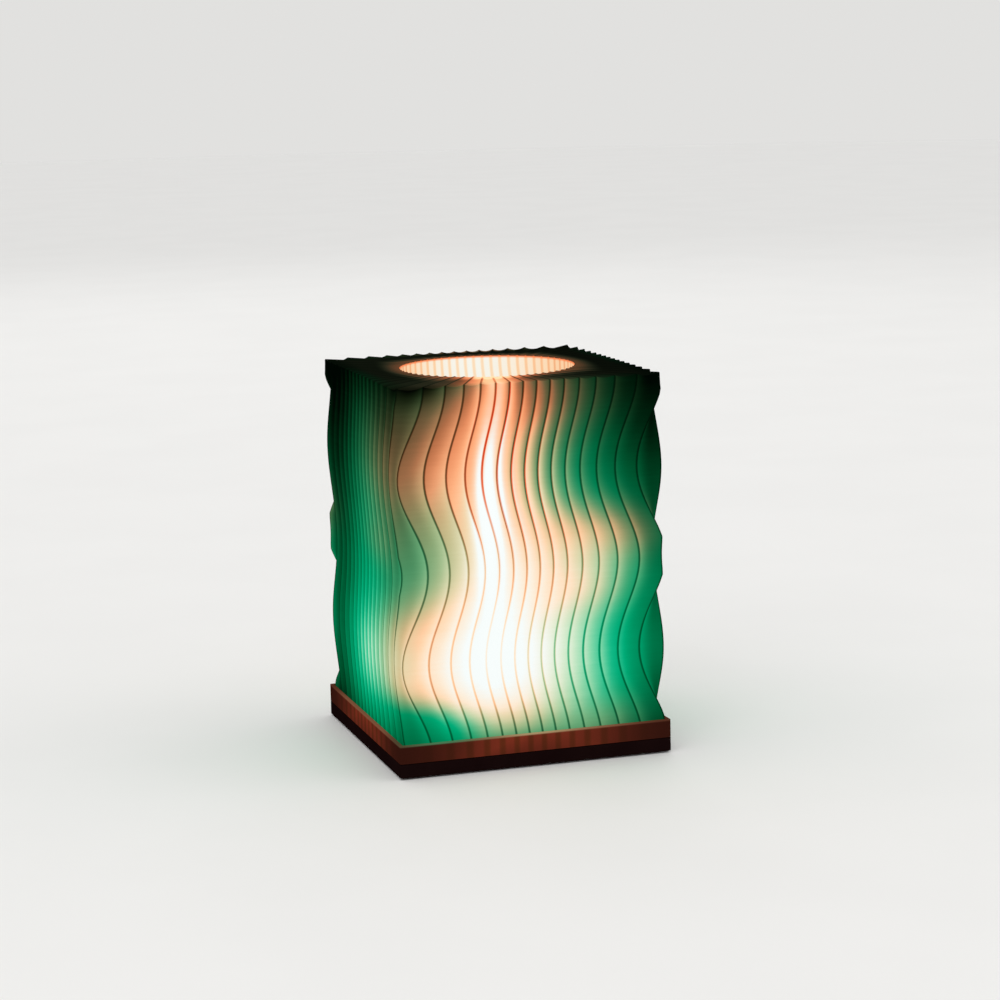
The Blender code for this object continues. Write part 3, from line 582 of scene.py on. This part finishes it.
def make_shade():
    count = RIDGE_COUNT * STEPS_PER_FLUTE
    faces, zones, places, gaps = [], [], [], []
    for lower, (zone, _, _, _) in enumerate(stack):
        upper = (lower + 1) % len(stack)
        for column in range(count):
            following = (column + 1) % count
            faces.append((
                lower * count + column, lower * count + following,
                upper * count + following, upper * count + column,
            ))
            zones.append(ZONES.index(zone))
            ridge, step = divmod(column, STEPS_PER_FLUTE)
            corners = ((lower, step), (lower, step + 1), (upper, step + 1), (upper, step))
            for row, side in corners:
                place, gap = corner_values(zone, row, ridge, side)
                places += place
                gaps.append(gap)
    mesh = bpy.data.meshes.new("shade_glow")
    mesh.from_pydata([point for _, _, _, ring in stack for point in ring], [], faces)
    stored_places = mesh.attributes.new("shade_place", "FLOAT_VECTOR", "CORNER")
    stored_places.data.foreach_set("vector", places)
    stored_gaps = mesh.attributes.new("ridge_gap", "FLOAT", "CORNER")
    stored_gaps.data.foreach_set("value", gaps)
    mesh.polygons.foreach_set("material_index", zones)
    mesh.shade_smooth()
    mesh.set_sharp_from_angle(angle=SHADE_SHARP_ANGLE)
    mesh.update()
    return link(bpy.data.objects.new("ripple_shade", mesh))


ripple_shade = make_shade()
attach(ripple_shade, "shade")
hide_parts("shade")
print("shade:", len(ripple_shade.data.vertices), "points,", len(ripple_shade.data.polygons), "faces")

# %% [markdown]
# ## Light in the wall
#
# The glow has two parts: how bright each spot is, and whether green or warm light
# wins there. A volume of real scattering light would need thousands of samples, so
# each part is a sum of soft oval spots laid on the wall, with two colour scales that
# both end in white. The spots were set from the photo, one feature of the glow
# each, and rounded. The bulbs are the same front and back, so the pattern repeats
# after two faces.
#
# Light leaves a hollow flute bent to one side. Shifting the lookup a little by the
# place across the flute gives each flute its bright and its dim side, and each
# flute is a touch warmer on its left, most of all in the upper half.

# %% Light scales and spots
WARM_LIGHT = (
    (0.00, shown(14, 12, 8)), (0.09, shown(45, 38, 24)), (0.19, shown(85, 68, 46)),
    (0.27, shown(116, 90, 62)), (0.37, shown(174, 120, 84)), (0.46, shown(228, 160, 116)),
    (0.54, shown(253, 190, 143)), (0.62, shown(255, 215, 175)), (0.70, shown(253, 237, 216)),
    (0.78, shown(246, 252, 251)), (1.00, shown(250, 255, 255)),
)
GREEN_LIGHT = (
    (0.00, shown(6, 14, 9)), (0.09, shown(6, 42, 24)), (0.19, shown(3, 78, 46)),
    (0.29, shown(1, 108, 68)), (0.38, shown(1, 135, 89)), (0.48, shown(4, 163, 112)),
    (0.55, shown(26, 184, 134)), (0.63, shown(104, 213, 166)), (0.70, shown(182, 233, 197)),
    (0.77, shown(236, 251, 246)), (1.00, shown(250, 255, 255)),
)
FULL_SCALE = 1.3
FLUTE_LEAN = 0.055
BASE_BRIGHTNESS = -0.20
BRIGHT_SPOTS = (
    # strength, place round, height, half width, half height
    (0.75, 0.05, 0.15, 0.80, 0.27),    # all round the foot
    (0.93, 0.36, 0.64, 0.32, 0.59),    # the hot column in front of the bulb
    (0.30, 0.34, 0.70, 0.05, 0.27),    # the streak in its middle
    (0.29, 0.39, 1.02, 0.05, 0.17),    # which leans right at its top
    (0.54, 0.77, 0.33, 0.28, 0.72),    # the broad glow to its right
    (0.21, 0.83, 0.50, 0.26, 0.15),    # the warm cloud near the right edge
    (0.37, -0.60, 0.18, 0.30, 0.22),   # the left face, low
    (0.71, -0.39, 0.61, 0.48, 0.42),   # the left face, middle
    (0.06, 0.10, 0.76, 0.15, 0.13),    # salmon flutes at the upper left
    (-0.22, 0.00, 0.08, 0.18, 0.10),   # dimmer in the corner by the tray
    (-0.10, 0.45, 0.00, 0.36, 0.08),   # and along the front by the tray
    (-0.25, 0.10, 1.02, 0.14, 0.06),   # dark under the top edge, at the left
)
BASE_WARMTH = -0.08
WARM_SPOTS = (
    (1.03, 0.37, 0.20, 0.28, 0.77),    # the hot column
    (0.92, 0.00, 0.80, 0.46, 0.20),    # a band round the top left corner
    (1.40, 0.03, 0.23, 0.34, 0.17),    # a cloud round the lower left corner
    (-0.63, 0.03, 0.24, 0.20, 0.09),   # paler in its middle
    (-1.20, 0.05, 0.06, 0.27, 0.08),   # green under it
    (-0.45, 0.42, 0.00, 0.20, 0.06),   # and on along the front foot
    (0.77, 0.78, 0.57, 0.32, 0.095),   # the cloud near the right edge
    (0.64, 0.65, 0.42, 0.23, 0.08),    # and its lower tail
    (0.73, 0.51, 0.97, 0.37, 0.12),    # tan along the top edge
    (0.23, -0.27, 0.55, 0.23, 0.07),   # a breath of tan on the left face
    (0.40, 0.80, 0.02, 0.20, 0.10),    # and on the foot at the right
    (0.14, 0.43, 0.70, 0.10, 0.13),    # warmer right of the column
)
WARMTH_DROP_LOW = 0.05
WARMTH_DROP_HIGH = 0.28
FALL_SPOTS = (
    (0.26, 0.50, 0.80, 0.15, 0.32),    # each flute dims to its right by the hot column
)
# Painted light and shade across the flutes: brighter by the ridges, darker in the hollows.
PLEAT_SHADE_SPOTS = (
    (0.10, -0.50, 0.50, 0.42, 0.70),   # on the left face it is brighter by the ridges
)


def spots(finish, place, base, listed):
    """The sum of soft oval spots at a (round, height, 0) place that repeats every two faces."""
    total = base
    for strength, around, height, half_width, half_height in listed:
        away = finish.vector_maths("SUBTRACT", place, (around, height, 0))
        away = finish.vector_maths("WRAP", away, (1, 9, 9), (-1, -9, -9))
        away = finish.vector_maths("MULTIPLY", away, (1 / half_width, 1 / half_height, 0))
        square = finish.vector_maths("DOT_PRODUCT", away, away)
        fall = finish.maths("EXPONENT", finish.maths("MULTIPLY", square, -1.0))
        total = finish.maths("MULTIPLY_ADD", fall, strength, total)
    return total


def wall_light(finish, height=None):
    """Brightness, warmth and the stored height, read from the shade's mesh."""
    stored = finish.node("Attribute", attribute_name="shade_place").outputs["Vector"]
    around, number, across = finish.parts(stored)
    lean = finish.maths("MULTIPLY_ADD", across, FLUTE_LEAN, -FLUTE_LEAN / 2)
    place = finish.node("CombineXYZ")
    finish.put(finish.maths("ADD", around, lean), place.inputs[0])
    finish.put(number if height is None else height, place.inputs[1])
    place = place.outputs[0]
    leftward = finish.maths("SUBTRACT", 0.5, across)
    bright = spots(finish, place, BASE_BRIGHTNESS, BRIGHT_SPOTS)
    fall = spots(finish, place, 0.0, FALL_SPOTS)
    bright = finish.maths("MULTIPLY_ADD", leftward, fall, bright)
    # Painted light and shade: 1 on each ridge and -1 in the middle of each flute.
    pleat_shade = finish.maths("COSINE", finish.maths("MULTIPLY", across, 2 * math.pi))
    bright = finish.maths("MULTIPLY_ADD", pleat_shade, spots(finish, place, 0.0, PLEAT_SHADE_SPOTS), bright)
    warm = spots(finish, place, BASE_WARMTH, WARM_SPOTS)
    drop = finish.ease(number, 0.35, 0.65, WARMTH_DROP_LOW, WARMTH_DROP_HIGH)
    warm = finish.maths("MULTIPLY_ADD", leftward, drop, warm)
    return finish.maths("MAXIMUM", bright, 0.0), warm, number


def light_colour(finish, bright, warm):
    scaled = finish.maths("DIVIDE", bright, FULL_SCALE)
    return finish.mix(
        finish.maths("MINIMUM", finish.maths("MAXIMUM", warm, 0.0), 1.0),
        finish.ramp(scaled, GREEN_LIGHT), finish.ramp(scaled, WARM_LIGHT),
    )


print("bright spots:", len(BRIGHT_SPOTS), "warm spots:", len(WARM_SPOTS))

# %% [markdown]
# ## The wall's finish
#
# Where two flutes meet the plastic is thick, so each ridge shows as a thin dark
# line. The mesh knows how far each spot is from the nearest ridge, in metres, so
# the line keeps its width everywhere. A line only lowers the brightness before the
# colour is looked up, and that alone gives dark green lines in green light. In the
# hottest light a line fades to pale gold. In the upper half it turns red across the
# hot column and brown beside it, and the warmest side of each flute takes the
# orange of an ember.

# %% Paint the wall
LINE_CORE = 0.00015
LINE_EDGE = 0.00070
LINE_SHARE = 0.48
LINE_DEEPEST = 0.29
LINE_DEEPEST_IN_WHITE = 0.14
LINE_WARMTH_LOSS = 0.1
LINE_TINT = (1.0, 0.54, 0.38, 1.0)
HOT_LINE_TINT = (0.84, 0.30, 0.17, 1.0)
EMBER_TINT = (1.0, 0.84, 0.78, 1.0)
GRAIN_SHARE = 0.03
CLOUD_SHARE = 0.05
GRAIN_DEPTH = 0.00006
WALL_BODY = 0.20
WALL_GLOW = 0.82


def ridge_line(finish, core=LINE_CORE, edge=LINE_EDGE):
    """1 on a ridge, 0 away from it."""
    gap = finish.node("Attribute", attribute_name="ridge_gap").outputs["Fac"]
    return finish.ease(gap, core, edge, 1.0, 0.0)


def darkened(finish, bright, line, share=LINE_SHARE, deepest=LINE_DEEPEST):
    """Takes a share of the brightness away on the lines, but no more than the deepest."""
    deepest = finish.ease(bright, 0.8, 1.1, deepest, min(deepest, LINE_DEEPEST_IN_WHITE))
    loss = finish.maths("MINIMUM", finish.maths("MULTIPLY", bright, share), deepest)
    return finish.maths("SUBTRACT", bright, finish.maths("MULTIPLY", line, loss))


def layer_grain(finish, depth):
    """Printed layers: fine level streaks that never repeat, so they can't shimmer."""
    streaks = finish.noise(900.0, 2.0, (0.04, 0.04, 1.0))
    finish.bump(streaks, depth)
    return streaks


def ember_share(wall, bright, warm, number):
    """How far the orange of an ember colours a place: high up, warm, and not too hot."""
    share = wall.maths("MULTIPLY", wall.ease(number, 0.42, 0.85), wall.ease(warm, 0.88, 1.2, 0.0, 0.8))
    share = wall.maths("MULTIPLY", share, wall.ease(bright, 0.2, 0.55))
    return wall.maths("MULTIPLY", share, wall.ease(bright, 0.85, 1.05, 1.0, 0.0))


def wall_finish():
    wall = Finish("shade_wall", roughness=0.5, shine=0.0)
    bright, warm, number = wall_light(wall)
    line = ridge_line(wall)
    hot = wall.ease(bright, 0.67, 0.97, 0.0, 0.85)
    hot_high = wall.maths("MULTIPLY", wall.ease(number, 0.5, 0.9), hot)
    bright = darkened(wall, bright, line)
    grain = layer_grain(wall, GRAIN_DEPTH)
    cloud = wall.noise(60.0, 3.0)
    bright = wall.maths("MULTIPLY_ADD", wall.maths("SUBTRACT", grain, 0.5), GRAIN_SHARE, bright)
    bright = wall.maths("MULTIPLY_ADD", wall.maths("SUBTRACT", cloud, 0.5), CLOUD_SHARE, bright)
    warm_part = wall.ease(warm, 0.6, 1.1, 0.0, 0.5)
    warm_high = wall.maths("MULTIPLY", wall.ease(number, 0.35, 0.7), warm_part)
    warm = wall.maths("MULTIPLY_ADD", line, -LINE_WARMTH_LOSS, warm)
    colour = light_colour(wall, bright, warm)
    colour = wall.tinted(wall.maths("MULTIPLY", line, warm_high), colour, LINE_TINT)
    colour = wall.tinted(wall.maths("MULTIPLY", line, hot_high), colour, HOT_LINE_TINT)
    colour = wall.tinted(ember_share(wall, bright, warm, number), colour, EMBER_TINT)
    wall.lit(colour, WALL_BODY, WALL_GLOW)
    return wall.material


ripple_shade.data.materials.append(wall_finish())
print("wall finish:", len(ripple_shade.data.materials[0].node_tree.nodes), "nodes")

# %% [markdown]
# ## Top, collar and inside
#
# The top is almost dark. It glows in front of the opening and round its rim, and at
# its outer edge it takes half of the wall's own light, so no bright border shows.
# The collar is nearly white in the middle and more orange to the sides, with an
# orange-red rim. The inside is brighter than the outside, because the bulbs stand
# in front of it.

# %% Paint the top, the collar and the inside
TOP_BASE = 0.07
TOP_GLOW_PLACE = 0.37
TOP_GLOWS = ((0.66, 0.13), (0.22, 0.34))   # strength and half width, in face widths
TOP_RIM_GLOW = 0.33
TOP_FLUTE_FALL = 0.04
TOP_LINES = (0.0002, 0.0007)
COLLAR_LIGHT = 0.98
COLLAR_FALL = 0.25
COLLAR_BRIGHT_X = 0.004
COLLAR_LINES = (0.0002, 0.0011)
RIM_LIGHT = shown(255, 128, 78)
TOP_LIGHT = (
    (0.00, shown(12, 15, 12)), (0.10, shown(30, 34, 25)), (0.20, shown(54, 50, 37)),
    (0.35, shown(102, 69, 48)), (0.50, shown(166, 94, 62)), (0.65, shown(228, 132, 90)),
    (0.80, shown(255, 172, 118)), (1.00, shown(255, 226, 176)),
)


def top_finish():
    """Almost dark, with a glow in front of the opening, round its rim and at its edge."""
    top = Finish("shade_top", roughness=0.5, shine=0.0)
    stored = top.node("Attribute", attribute_name="shade_place").outputs["Vector"]
    around, share, across = top.parts(stored)
    off_centre = top.maths("SUBTRACT", around, TOP_GLOW_PLACE)
    off_centre = top.maths("WRAP", off_centre, -2.0, 2.0)
    bright = TOP_BASE
    for strength, half_width in TOP_GLOWS:
        away = top.maths("DIVIDE", off_centre, half_width)
        square = top.maths("MULTIPLY", away, away)
        fall = top.maths("EXPONENT", top.maths("MULTIPLY", square, -1.0))
        bright = top.maths("MULTIPLY_ADD", fall, strength, bright)
    rim = top.ease(share, 0.55, 1.0, 0.0, TOP_RIM_GLOW)
    bright = top.maths("ADD", bright, rim)
    bright = top.maths("MULTIPLY_ADD", across, -TOP_FLUTE_FALL, bright)
    bright = darkened(top, bright, ridge_line(top, *TOP_LINES), 0.45, 0.3)
    layer_grain(top, 0.00005)
    edge_bright, edge_warm, _ = wall_light(top, 1.0)
    edge_bright = darkened(top, edge_bright, ridge_line(top))
    edge = light_colour(top, edge_bright, edge_warm)
    colour = top.mix(top.ease(share, 0.0, 0.35, 0.5, 0.0), top.ramp(bright, TOP_LIGHT), edge)
    top.lit(colour, WALL_BODY, WALL_GLOW)
    return top.material


def collar_finish():
    collar = Finish("shade_collar", roughness=0.5, shine=0.0)
    stored = collar.node("Attribute", attribute_name="shade_place").outputs["Vector"]
    _, share, across = collar.parts(stored)
    side = collar.maths("SUBTRACT", collar.parts(collar.own_place())[0], COLLAR_BRIGHT_X)
    side = collar.maths("DIVIDE", side, OPENING_RADIUS)
    bright = collar.maths("MULTIPLY", collar.maths("MULTIPLY", side, side), -COLLAR_FALL)
    bright = collar.maths("ADD", bright, COLLAR_LIGHT)
    bright = darkened(collar, bright, ridge_line(collar, *COLLAR_LINES), 0.5, 0.14)
    edge = collar.ease(share, 0.02, 0.12, 1.0, 0.0)
    colour = collar.mix(edge, light_colour(collar, bright, 1.0), RIM_LIGHT)
    collar.lit(colour, WALL_BODY, WALL_GLOW)
    return collar.material


def inside_finish():
    inside = Finish("shade_inside", roughness=0.6, shine=0.0)
    bright, warm, number = wall_light(inside)
    bright = inside.maths("MULTIPLY_ADD", bright, 0.35, 0.55)
    low = inside.ease(number, 0.0, 0.5, 0.18, 0.0)
    bright = inside.maths("ADD", bright, low)
    warm = inside.maths("MULTIPLY_ADD", warm, 0.7, 0.25)
    layer_grain(inside, GRAIN_DEPTH)
    inside.lit(light_colour(inside, bright, warm), WALL_BODY, WALL_GLOW)
    return inside.material


for finish in (top_finish(), collar_finish(), inside_finish()):
    ripple_shade.data.materials.append(finish)
print("shade finishes:", [m.name for m in ripple_shade.data.materials])

# %% [markdown]
# ## Soft edges for the base
#
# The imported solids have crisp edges, as CAD does. A moulded or printed tray has
# small rounds that catch light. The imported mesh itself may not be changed, so we
# copy it, weld it, dissolve the triangles of its flat faces, and bevel only the
# edges that a hand could touch. The copy then stands in for the original.

# %% Copy and soften
WELD = 0.00001
EDGE_SEGMENTS = 3
FLAT_ANGLE = math.radians(1)
BEVEL_ANGLE = math.radians(40)
SMOOTH_ANGLE = math.radians(30)


def softened(node, name, radius, chosen, body):
    """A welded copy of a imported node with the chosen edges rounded."""
    mesh = nodes[node].data.copy()
    work = bmesh.new()
    work.from_mesh(mesh)
    bmesh.ops.remove_doubles(work, verts=work.verts, dist=WELD)
    bmesh.ops.dissolve_limit(
        work, angle_limit=FLAT_ANGLE, verts=work.verts, edges=work.edges
    )
    edges = [e for e in work.edges if chosen(e) and e.calc_face_angle(0) > BEVEL_ANGLE]
    bmesh.ops.bevel(
        work, geom=edges, offset=radius, segments=EDGE_SEGMENTS, profile=0.5,
        affect="EDGES", clamp_overlap=True,
    )
    work.to_mesh(mesh)
    work.free()
    mesh.name = name
    mesh.materials.clear()
    mesh.shade_smooth()
    mesh.set_sharp_from_angle(angle=SMOOTH_ANGLE)
    piece = link(bpy.data.objects.new(name, mesh))
    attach(piece, body)
    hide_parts(node)
    print(name, "softened", len(edges), "edges")
    return piece


def level_with(height):
    return lambda edge: all(abs(v.co.z - height) < WELD for v in edge.verts)


tray_low, tray_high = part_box("tray")
TRAY_EDGE = 0.0003
tray = softened("tray", "red_tray", TRAY_EDGE, level_with(tray_high.z), "base")

# %% [markdown]
# ## The tray's finish
#
# The tray is red-brown plastic that lets a little light through. Behind its wall
# the foot of the shade glows, and every ridge there blocks some light, so soft
# upright bands cross the wall. The same ridge rule, turned round, says where they
# fall: from the angle round the lamp we get the ridge number, and a cosine of it
# gives the bands. The top edge is lit from the side and shows as a pale line.

# %% Paint the tray
TRAY_DIM = shown(54, 28, 22)
TRAY_RED = shown(124, 52, 37)
TRAY_OLIVE = shown(88, 46, 26)
# The top edge in painted light: lit brown, with pools of the shade's cream and green light.
LEDGE_LIT_BROWN = shown(128, 84, 62)
LEDGE_CREAM_LIGHT = shown(170, 146, 108)
LEDGE_GREEN_LIGHT = shown(76, 122, 86)
LEDGE_HEIGHT = 0.0009
LEDGE_BLUR = 0.0001
CREAM_POOL_PLACE, CREAM_POOL_SIZE = (0.000, -0.058, 0), 0.022
GREEN_POOL_PLACE, GREEN_POOL_SIZE = (-0.040, -0.058, 0), 0.016


def light_pool(finish, place, around, size):
    """A soft pool of painted light, 1 at a place and 0 from about twice its size away."""
    away = finish.vector_maths("SUBTRACT", place, around)
    away = finish.vector_maths("MULTIPLY", away, (1 / size, 1 / size, 0))
    square = finish.vector_maths("DOT_PRODUCT", away, away)
    return finish.maths("EXPONENT", finish.maths("MULTIPLY", square, -1.0))


def ridge_bands(finish, x, y):
    """1 where a ridge of the shade's foot stands behind this place, 0 between two."""
    angle = finish.maths("ARCTAN2", x, finish.maths("MULTIPLY", y, -1.0))
    spread = finish.maths("SINE", finish.maths("MULTIPLY", angle, 4.0))
    angle = finish.maths("MULTIPLY_ADD", spread, -RIDGE_SPREAD, angle)
    first_ridge = ridge_angle(0, tray_high.z)
    step = 2 * math.pi / RIDGE_COUNT
    turns = finish.maths("DIVIDE", finish.maths("SUBTRACT", angle, first_ridge), step)
    wave = finish.maths("COSINE", finish.maths("MULTIPLY", turns, 2 * math.pi))
    return finish.maths("MULTIPLY_ADD", wave, 0.5, 0.5)


def tray_finish():
    red = Finish("red_tray_plastic", roughness=0.45, shine=0.0)
    place = red.own_place()
    x, y, z = red.parts(place)
    band = red.ease(ridge_bands(red, x, y), 0.35, 1.0)
    colour = red.mix(red.maths("MULTIPLY", band, 0.7), TRAY_RED, TRAY_OLIVE)
    # Painted shade: the wall dims towards its corners, away from the shade's glow behind it, and
    # towards its foot.
    sideways = red.maths("MINIMUM", red.maths("ABSOLUTE", x), red.maths("ABSOLUTE", y))
    dim = red.ease(sideways, 0.004, tray_high.x, 0.0, 1.0)
    low = red.ease(z, tray_low.z, tray_high.z, 0.35, 0.0)
    colour = red.mix(red.maths("MAXIMUM", dim, low), colour, TRAY_DIM)
    cloud = red.ease(red.noise(60.0, 2.0), 0.3, 0.7, 0.0, 0.18)
    colour = red.mix(cloud, colour, TRAY_DIM)
    # Painted light on the top edge: lit brown that dims towards its ends, a cream pool at the middle
    # of the front and a green one to its left.
    ends = red.ease(sideways, 0.025, tray_high.x, 0.0, 0.6)
    ledge = red.mix(ends, LEDGE_LIT_BROWN, TRAY_DIM)
    ledge = red.mix(light_pool(red, place, CREAM_POOL_PLACE, CREAM_POOL_SIZE), ledge, LEDGE_CREAM_LIGHT)
    ledge = red.mix(light_pool(red, place, GREEN_POOL_PLACE, GREEN_POOL_SIZE), ledge, LEDGE_GREEN_LIGHT)
    near_top = red.ease(z, tray_high.z - LEDGE_HEIGHT, tray_high.z - LEDGE_BLUR)
    colour = red.mix(near_top, colour, ledge)
    red.bump(red.noise(1400.0, 2.0, (0.06, 0.06, 1.0)), 0.00003)
    # Painted glow: over half of the tray's colour is shown as its own light, standing in for the
    # shade's light coming through it.
    red.lit(colour, 0.45, 0.55)
    return red.material


tray.data.materials.append(tray_finish())
print("tray spans", round((tray_high.x - tray_low.x) * 1000, 1), "mm")

# %% [markdown]
# ## The housing
#
# Below the tray sits a flat black-brown housing that carries the electronics. In
# the light of the shade it is almost black. A dark plastic still needs life: a
# satin roughness that varies a little, fine moulding grain, and soft lower edges.

# %% Soften and paint the housing
housing_low, housing_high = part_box("housing")
HOUSING_EDGE = 0.0004
HOUSING_RIM_DEPTH = 0.0009


def housing_rim(edge):
    outer = all(
        max(abs(v.co.x), abs(v.co.y)) > housing_high.x - HOUSING_RIM_DEPTH for v in edge.verts
    )
    return outer and level_with(housing_low.z)(edge)


housing = softened(
    "housing", "black_housing", HOUSING_EDGE, housing_rim, "base"
)


def grained(name, colour, roughness, scale=500.0, depth=0.00002, metal=0.0, tint=0.2, shine=0.3):
    """Moulded plastic or plated metal: a colour that drifts a little, and a fine grain."""
    finish = Finish(name, roughness=roughness, shine=shine)
    drift = finish.ease(finish.noise(70.0, 3.0), 0.3, 0.7)
    darker = tuple(c * (1 - tint) for c in colour)
    finish.colour(finish.mix(drift, (*colour, 1), (*darker, 1)))
    grain = finish.noise(scale, 2.0)
    finish.put(
        finish.ease(grain, 0.3, 0.7, roughness - 0.06, roughness + 0.06),
        finish.shader.inputs["Roughness"],
    )
    finish.bump(grain, depth)
    finish.shader.inputs["Metallic"].default_value = metal
    return finish.material


housing.data.materials.append(
    grained("housing_plastic_grain", (0.009, 0.0035, 0.0035), 0.5, scale=900.0, shine=0.0)
)

# %% [markdown]
# ## Everything else
#
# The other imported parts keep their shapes, and each gets a finish of its own:
# rubber feet, zinc-plated screws, a white light board, diodes, an opal dome, and
# the small electronics in the housing. A dictionary from record slot to finish
# paints them all in one loop.

# %% Finishes by slot
def glowing(name, colour, glow, body=0.3):
    finish = Finish(name, roughness=0.35, shine=0.3)
    cloud = finish.ease(finish.noise(160.0, 2.0), 0.3, 0.7)
    paler = tuple(min(1.0, c * 0.8 + 0.2) for c in colour)
    finish.lit(finish.mix(cloud, (*colour, 1), (*paler, 1)), body, glow)
    return finish.material


def opal_finish():
    """Frosted dome: white-hot crown, warmer towards the foot, green from below the rim."""
    opal = Finish("opal_dome", roughness=0.4, shine=0.3)
    low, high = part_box("diffuser_dome")
    z = opal.parts(opal.own_place())[2]
    rise = opal.maths("DIVIDE", opal.maths("SUBTRACT", z, low.z), high.z - low.z)
    colour = opal.ramp(rise, (
        (0.00, shown(150, 214, 176)), (0.15, shown(240, 226, 190)),
        (0.45, shown(255, 238, 214)), (0.80, shown(252, 250, 244)), (1.00, shown(255, 255, 252)),
    ))
    opal.bump(opal.noise(900.0, 2.0), 0.00002)
    opal.lit(colour, 0.3, 0.75)
    return opal.material


FINISHES = {
    "holder_plastic": grained("holder_plastic_grain", (0.75, 0.74, 0.70), 0.5, tint=0.06),
    "black_plastic": grained("black_plastic_grain", (0.02, 0.02, 0.022), 0.5),
    "white_plastic": grained("white_plastic_grain", (0.8, 0.8, 0.77), 0.45, tint=0.05),
    "button_plastic": grained("button_plastic_grain", (0.025, 0.022, 0.022), 0.4),
    "rubber": grained("rubber_grain", (0.02, 0.02, 0.02), 0.85, depth=0.00005),
    "steel": grained("plated_steel", (0.6, 0.6, 0.6), 0.3, metal=1.0, tint=0.1),
    "white_board": grained("white_board_mask", (0.85, 0.85, 0.82), 0.4, tint=0.04),
    "green_board": grained("green_board_mask", (0.01, 0.14, 0.05), 0.4),
    "warm_diode": glowing("warm_diode_glow", (1.0, 0.66, 0.30), 1.0),
    "green_diode": glowing("green_diode_glow", (0.20, 1.0, 0.62), 1.0),
    "opal_plastic": opal_finish(),
    "red_wire": grained("red_wire_cover", (0.55, 0.02, 0.02), 0.5),
}
for row in frame["record"]["subparts"]:
    if row["material_slot"] in FINISHES:
        nodes[row["node"]].material_slots[0].material = FINISHES[row["material_slot"]]
print("painted slots:", sorted(FINISHES))

# %% [markdown]
# ## Finish
#
# Before closing, we measure the dressed lamp's box and print how far it lies from the
# CAD model's. They should agree, because dressing a lamp must not change its size.

# %% Measure the sizes and finish
dressed_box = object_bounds()
growth = max(abs(a - b) for c, d in zip(cad_box, dressed_box) for a, b in zip(c, d))
print("largest change of the box:", round(growth * 1000, 3), "mm")
